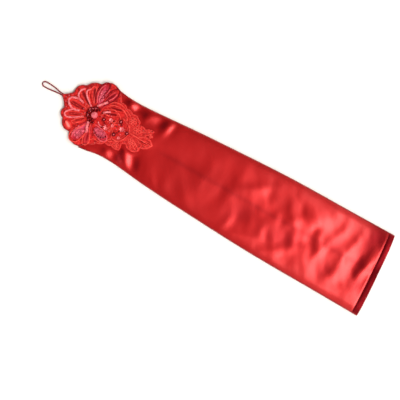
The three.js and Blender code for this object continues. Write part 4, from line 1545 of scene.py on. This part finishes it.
# %% Sequins
SEQUINS = [
    # name, reach, y, diameter, lobes
    ("sequin_flower", 90.5, 2.5, 7, 6),
    ("sequin_far", 72.3, 6.4, 4.8, 0),
    ("sequin_near", 71.5, -6.6, 5, 0),
    ("sequin_middle", 77.5, 0.6, 4, 0),
    ("sequin_side", 92, -9, 4, 0),
]
SCALE = {"disc": 3.3, "pitch": 1.9, "lift": 0.35, "tilt": 16.0, "tilt_varies": 7.0, "turn_varies": 0.3}
SCALE_LANES = {"between": [-0.42, 0.42], "wide": [-0.72, 0, 0.72], "narrow": [0]}  # of the half width
WIDE_ENOUGH = 4.6  # half width that takes three scales side by side
SEQUIN_THICK = 0.16
SCALED = {"petal_far_wide": (0.24, 0.72), "petal_near_wide": (0.42, 0.84), "leaf_near": (0.12, 0.84)}
random = np.random.default_rng(7)


def cup_sequin(diameter, lobes=0, sides=18, rise=0.75):
    radius = diameter / 2
    rise, thin = rise / radius, SEQUIN_THICK / radius
    profile = [(0.14, 0.05), (0.3, 0), (0.56, 0.12), (1, rise), (1, rise + thin)]
    profile += [(0.56, 0.12 + thin), (0.3, thin), (0.14, thin)]
    points, faces = turned_shape(np.array(profile) * radius, sides)
    if lobes:
        angle = np.arctan2(points[:, 1], points[:, 0])
        out = np.hypot(points[:, 0], points[:, 1]) / radius
        points[:, :2] *= (1 - 0.2 * out * np.abs(np.sin(lobes * angle / 2)))[:, None]
    return points, faces


def scales_on(row):
    """Overlapping sequins along the middle of a padded piece."""
    name, base, tip, width, thread = row
    first, last = SCALED[name]
    length, along, across = petal_axes(base, tip)
    heading = math.atan2(along[1], along[0])
    shape = cup_sequin(SCALE["disc"], sides=12, rise=0.4)
    scales = []
    for k, s in enumerate(np.arange(first, last, SCALE["pitch"] / length)):
        half = float(petal_half_width(s, width))
        lanes = SCALE_LANES["between" if k % 2 else "wide" if half > WIDE_ENOUGH else "narrow"]
        for lane in lanes:
            at = base + along * length * s + across * lane * half
            z = float(work_top(at[0], at[1])) + SCALE["lift"]
            tilt = math.radians(SCALE["tilt"] + random.uniform(-1, 1) * SCALE["tilt_varies"])
            facing = heading + random.uniform(-1, 1) * SCALE["turn_varies"]
            scales.append(placed(shape, (x_of(at[0]), at[1], z), -tilt, facing))
    return scales


for name, reach, y, disc, lobes in SEQUINS:
    cup = placed(cup_sequin(disc, lobes, 36 if lobes else 18), on_lace(reach, y, LACE_GAP), 0.06, reach)
    mesh_piece(name + "_cup", *cup, GEM["pink_sequin"], "sequin", [name], 40)
scales = [scale for row in PADDED if row[0] in SCALED for scale in scales_on(row)]
mesh_piece("petal_scales", *joined(scales), GEM["lilac_sequin"], "sequin", sharp=40)
print("scales:", len(scales))

# %% [markdown]
# ## Seed beads
#
# Seed beads are small glass rings. They follow the scallops of the tail, run down the front petals, sit in
# the sequins, and edge the near leaf. Each kind of glass has one mesh: a ring is turned once and copied to
# every place, so more than a hundred beads cost three objects.

# %% Seed beads
SEED = {"size": 1.7, "pitch": 3.1, "inset": 2.1, "from_reach": 64.0, "sits": 0.42, "hollow_pitch": 1.9}
HOLLOW_SEEDS = {"petal_tip": (0.3, 0.82), "petal_near_front": (0.16, 0.9), "petal_near_short": (0.3, 0.8)}
STREWN = {"reach": (59.0, 96.0), "y": (-8.0, 12.0), "apart": 2.5, "clear": 1.1, "count": 44}
DARK_SEEDS = [
    (59.6, -16.4), (62.2, -18.4), (65.2, -19.8), (68.4, -20.4), (71.6, -20), (74.6, -18.6), (76.6, -16),
]
FRONT_SEEDS = [
    (6, 4.2), (8.4, 7.8), (8.6, -1), (12, 11.4), (12.2, -6.8), (35, -5), (34, 2), (33.4, 8.8), (37.6, -1.6),
]


def seeds_at(places, size):
    shape = drilled_bead(size, hole=0.36, sides=10, steps=6)
    made = []
    for reach, y in places:
        z = float(work_top(reach, y)) + size * SEED["sits"]
        made.append(placed(shape, (x_of(reach), y, z), random.uniform(0, 0.5), random.uniform(0, math.tau)))
    return joined(made)


def hollow_seeds():
    """Rows of seed beads down the hollows of the front petals."""
    places = []
    for name, base, tip, width, thread in PADDED:
        if name in HOLLOW_SEEDS:
            first, last = HOLLOW_SEEDS[name]
            places.append(evenly(base + np.outer([first, last], tip - base), SEED["hollow_pitch"]))
    return np.vstack(places)


def scattered_seeds(count):
    """Seed beads strewn between the pearl and the tail, clear of the larger beads and sequins."""
    larger = [(reach, y, bead / 2) for name, reach, y, bead in TAIL_BEADS]
    larger += [(reach, y, disc / 2) for name, reach, y, disc, lobes in SEQUINS]
    chosen = []
    while len(chosen) < count:
        reach, y = random.uniform(*STREWN["reach"]), random.uniform(*STREWN["y"])
        clear = all(math.hypot(reach - r, y - w) > size + STREWN["clear"] for r, w, size in larger)
        if clear and all(math.hypot(reach - r, y - w) > STREWN["apart"] for r, w in chosen):
            chosen.append((reach, y))
    return chosen


def scallop_seeds():
    line = evenly(inset(edge_line, SEED["inset"]), SEED["pitch"])
    return line[(line[:, 0] > SEED["from_reach"]) & inside(edge_line, line)]


cup_seeds = [(reach, y) for name, reach, y, disc, lobes in SEQUINS]
flower_seeds = [(reach, y) for reach, y, radius, loops in ROSETTES]
strewn = scattered_seeds(STREWN["count"])
red_places = np.vstack([scallop_seeds(), flower_seeds, hollow_seeds(), strewn[::2]])
pale_places = cup_seeds + FRONT_SEEDS + strewn[1::4]
SEED_ROWS = [
    # name, places, diameter, glass, slot
    ("red_seed_beads", red_places, SEED["size"], "red_glass", "dark_bead"),
    ("pale_seed_beads", pale_places, 1.6, "pink_pearl", "pearl"),
    ("dark_seed_beads", DARK_SEEDS + strewn[3::8], 2.1, "maroon_bead", "dark_bead"),
]
for name, places, size, glass, slot in SEED_ROWS:
    mesh_piece(name, *seeds_at(places, size), GEM[glass], slot, sharp=50)

# %% [markdown]
# ## Hems and stitches
#
# The upper hem and the V of the palm are turned under and sewn with a line of short stitches. Each stitch
# is a bit of thread that dips into the cloth at both ends, laid along the hem on the outer face. They are
# made as small bent tubes, because a dotted line in the shader would have no shadow of its own.

# %% Stitch rows
STITCH_RADIUS, STITCH_SPACE, STITCH_POINTS = 0.24, 3.3, 6
STITCH_BEND = np.array([-0.16, 0.12, 0.2, 0.12, -0.16])
HEM_SHARE, V_SHARE = 0.97, 0.93  # how much of the width the rows of stitches take
STITCH_SUNK, LOWER_HEM_Z, LOWER_V_Z = 0.4, 0.1, 0.15


def stitch_row(line):
    """Stitches along a line of points on the cloth, a gap after each."""
    line = evenly(line, STITCH_SPACE / STITCH_POINTS)
    made = []
    for start in range(0, len(line) - STITCH_POINTS, STITCH_POINTS):
        path = line[start:start + len(STITCH_BEND)].copy()
        path[:, 2] += STITCH_BEND
        made.append(swept_tube(path, STITCH_RADIUS, sides=6))
    return made


def hem_line(from_end, upper):
    """A line across the upper or the lower layer, this far from the upper hem."""
    q = np.linspace(-HEM_SHARE, HEM_SHARE, 60)
    reach = np.full(len(q), ARM_END - from_end)
    y = across_arm(reach, q)
    lift = (crease_height(reach, y) + hem_height(from_end, y) - STITCH_SUNK) * np.sqrt(1 - q * q)
    z = top_height(reach, y) + lift if upper else np.full(len(q), LOWER_HEM_Z)
    return np.column_stack([along_arm(reach, q), y, z])


def palm_v_line():
    near_y, far_y = float(section("near", V_NEAR)), float(section("far", V_FAR))
    y = np.linspace(near_y * V_SHARE, far_y * V_SHARE, 80)
    reach = v_start(y, near_y, far_y, PALM_APEX) + PALM_HEM
    return np.column_stack([x_of(reach), y, np.full(len(y), LOWER_V_Z)])


hem_lines = [hem_line(HEM_DEPTH, True), hem_line(HEM_DEPTH, False), palm_v_line()]
stitches = [stitch for line in hem_lines for stitch in stitch_row(line)]
mesh_piece("hem_stitches", *joined(stitches), EMBROIDERY["hem_thread"], "satin")
print("stitches:", len(stitches))

# %% [markdown]
# ## The light and the table
#
# Shiny satin shows the lights more than its own colour, so the light is laid out along the sleeve. The
# room is dim over the hand and bright beyond the upper arm: flat cloth keeps its deep red, and only the
# slopes that fall towards the arm shine. Three soft boxes add the shadows and light the beads. A white
# room all round would be simpler, but it would wash the satin out. The camera itself sees only a plain
# pale backdrop.

# %% Table and lights
TABLE_HALF, TABLE_DROP = 6.0, 0.0003  # metres


def make_table():
    material, tree, shader = new_material("pale_table", Roughness=0.7, Specular_IOR_Level=0.2)
    dye = place_group(tree, "dye", Light=linear(252, 252, 252), Dark=linear(249, 249, 250), Patches=6.0)
    tree.links.new(dye.outputs["Color"], shader.inputs["Base Color"])
    mesh = bpy.data.meshes.new("table")
    corners = [(x * TABLE_HALF, y * TABLE_HALF, 0) for x, y in ((-1, -1), (1, -1), (1, 1), (-1, 1))]
    mesh.from_pydata(corners, [], [(0, 1, 2, 3)])
    mesh.materials.append(material)
    table = bpy.data.objects.new("table", mesh)
    table.location.z = -TABLE_DROP
    bpy.context.scene.collection.objects.link(table)


LIGHTS = [
    # name, place in metres, width, height, watts
    ("key_box", (0.64, 0.0, 1.6), 3.2, 0.5, 20.0),
    ("hand_box", (-1.6, 0.0, 0.9), 2.0, 0.5, 4.0),
    ("relief_box", (-1.3, -1.5, 0.7), 0.6, 0.5, 7.0),
]
LAMP_COLOR, ROOM_COLOR = (1.0, 0.95, 0.9), np.array([1, 0.96, 0.88])
BACKDROP = (0.94, 0.94, 0.94, 1)
TENT = [
    # how far a direction points along the arm, brightness
    (-0.95, 0.14),
    (-0.7, 0.12),
    (-0.2, 0.04),
    (-0.06, 0.07),
    (0.04, 0.1),
    (0.1, 0.55),
    (0.19, 0.95),
    (0.3, 2.1),
    (0.4, 3.8),
    (0.6, 1.0),
    (0.8, 0.6),
]


def make_lights():
    for name, place, width, height, watts in LIGHTS:
        data = bpy.data.lights.new(name, "AREA")
        data.shape, data.size, data.size_y, data.energy = "RECTANGLE", width, height, watts
        data.color = LAMP_COLOR
        light = bpy.data.objects.new(name, data)
        light.location = place
        light.rotation_euler = (-Vector(place)).to_track_quat("-Z", "Y").to_euler()
        bpy.context.scene.collection.objects.link(light)


def make_room():
    world = bpy.data.worlds.new("room")
    world.use_nodes = True
    tree = world.node_tree
    axes = tree.nodes.new("ShaderNodeSeparateXYZ")
    feed(tree, axes.inputs[0], tree.nodes.new("ShaderNodeTexCoord").outputs["Generated"])
    tent = tree.nodes.new("ShaderNodeValToRGB")
    ramp = tent.color_ramp
    ramp.interpolation = "EASE"
    while len(ramp.elements) < len(TENT):
        ramp.elements.new(1.0)
    for stop, (toward, strength) in zip(ramp.elements, TENT):
        stop.position, stop.color = 0.5 + toward / 2, (*(strength * ROOM_COLOR), 1)
    feed(tree, tent.inputs["Fac"], math_node(tree, "MULTIPLY_ADD", axes.outputs["X"], 0.5, 0.5))
    seen = tree.nodes.new("ShaderNodeLightPath").outputs["Is Camera Ray"]
    background = tree.nodes["Background"]
    feed(tree, background.inputs["Color"], mix_color(tree, seen, tent.outputs["Color"], BACKDROP))
    bpy.context.scene.world = world


make_table()
make_lights()
make_room()
bpy.context.scene.view_settings.view_transform = "Standard"
print("lights:", len(LIGHTS))
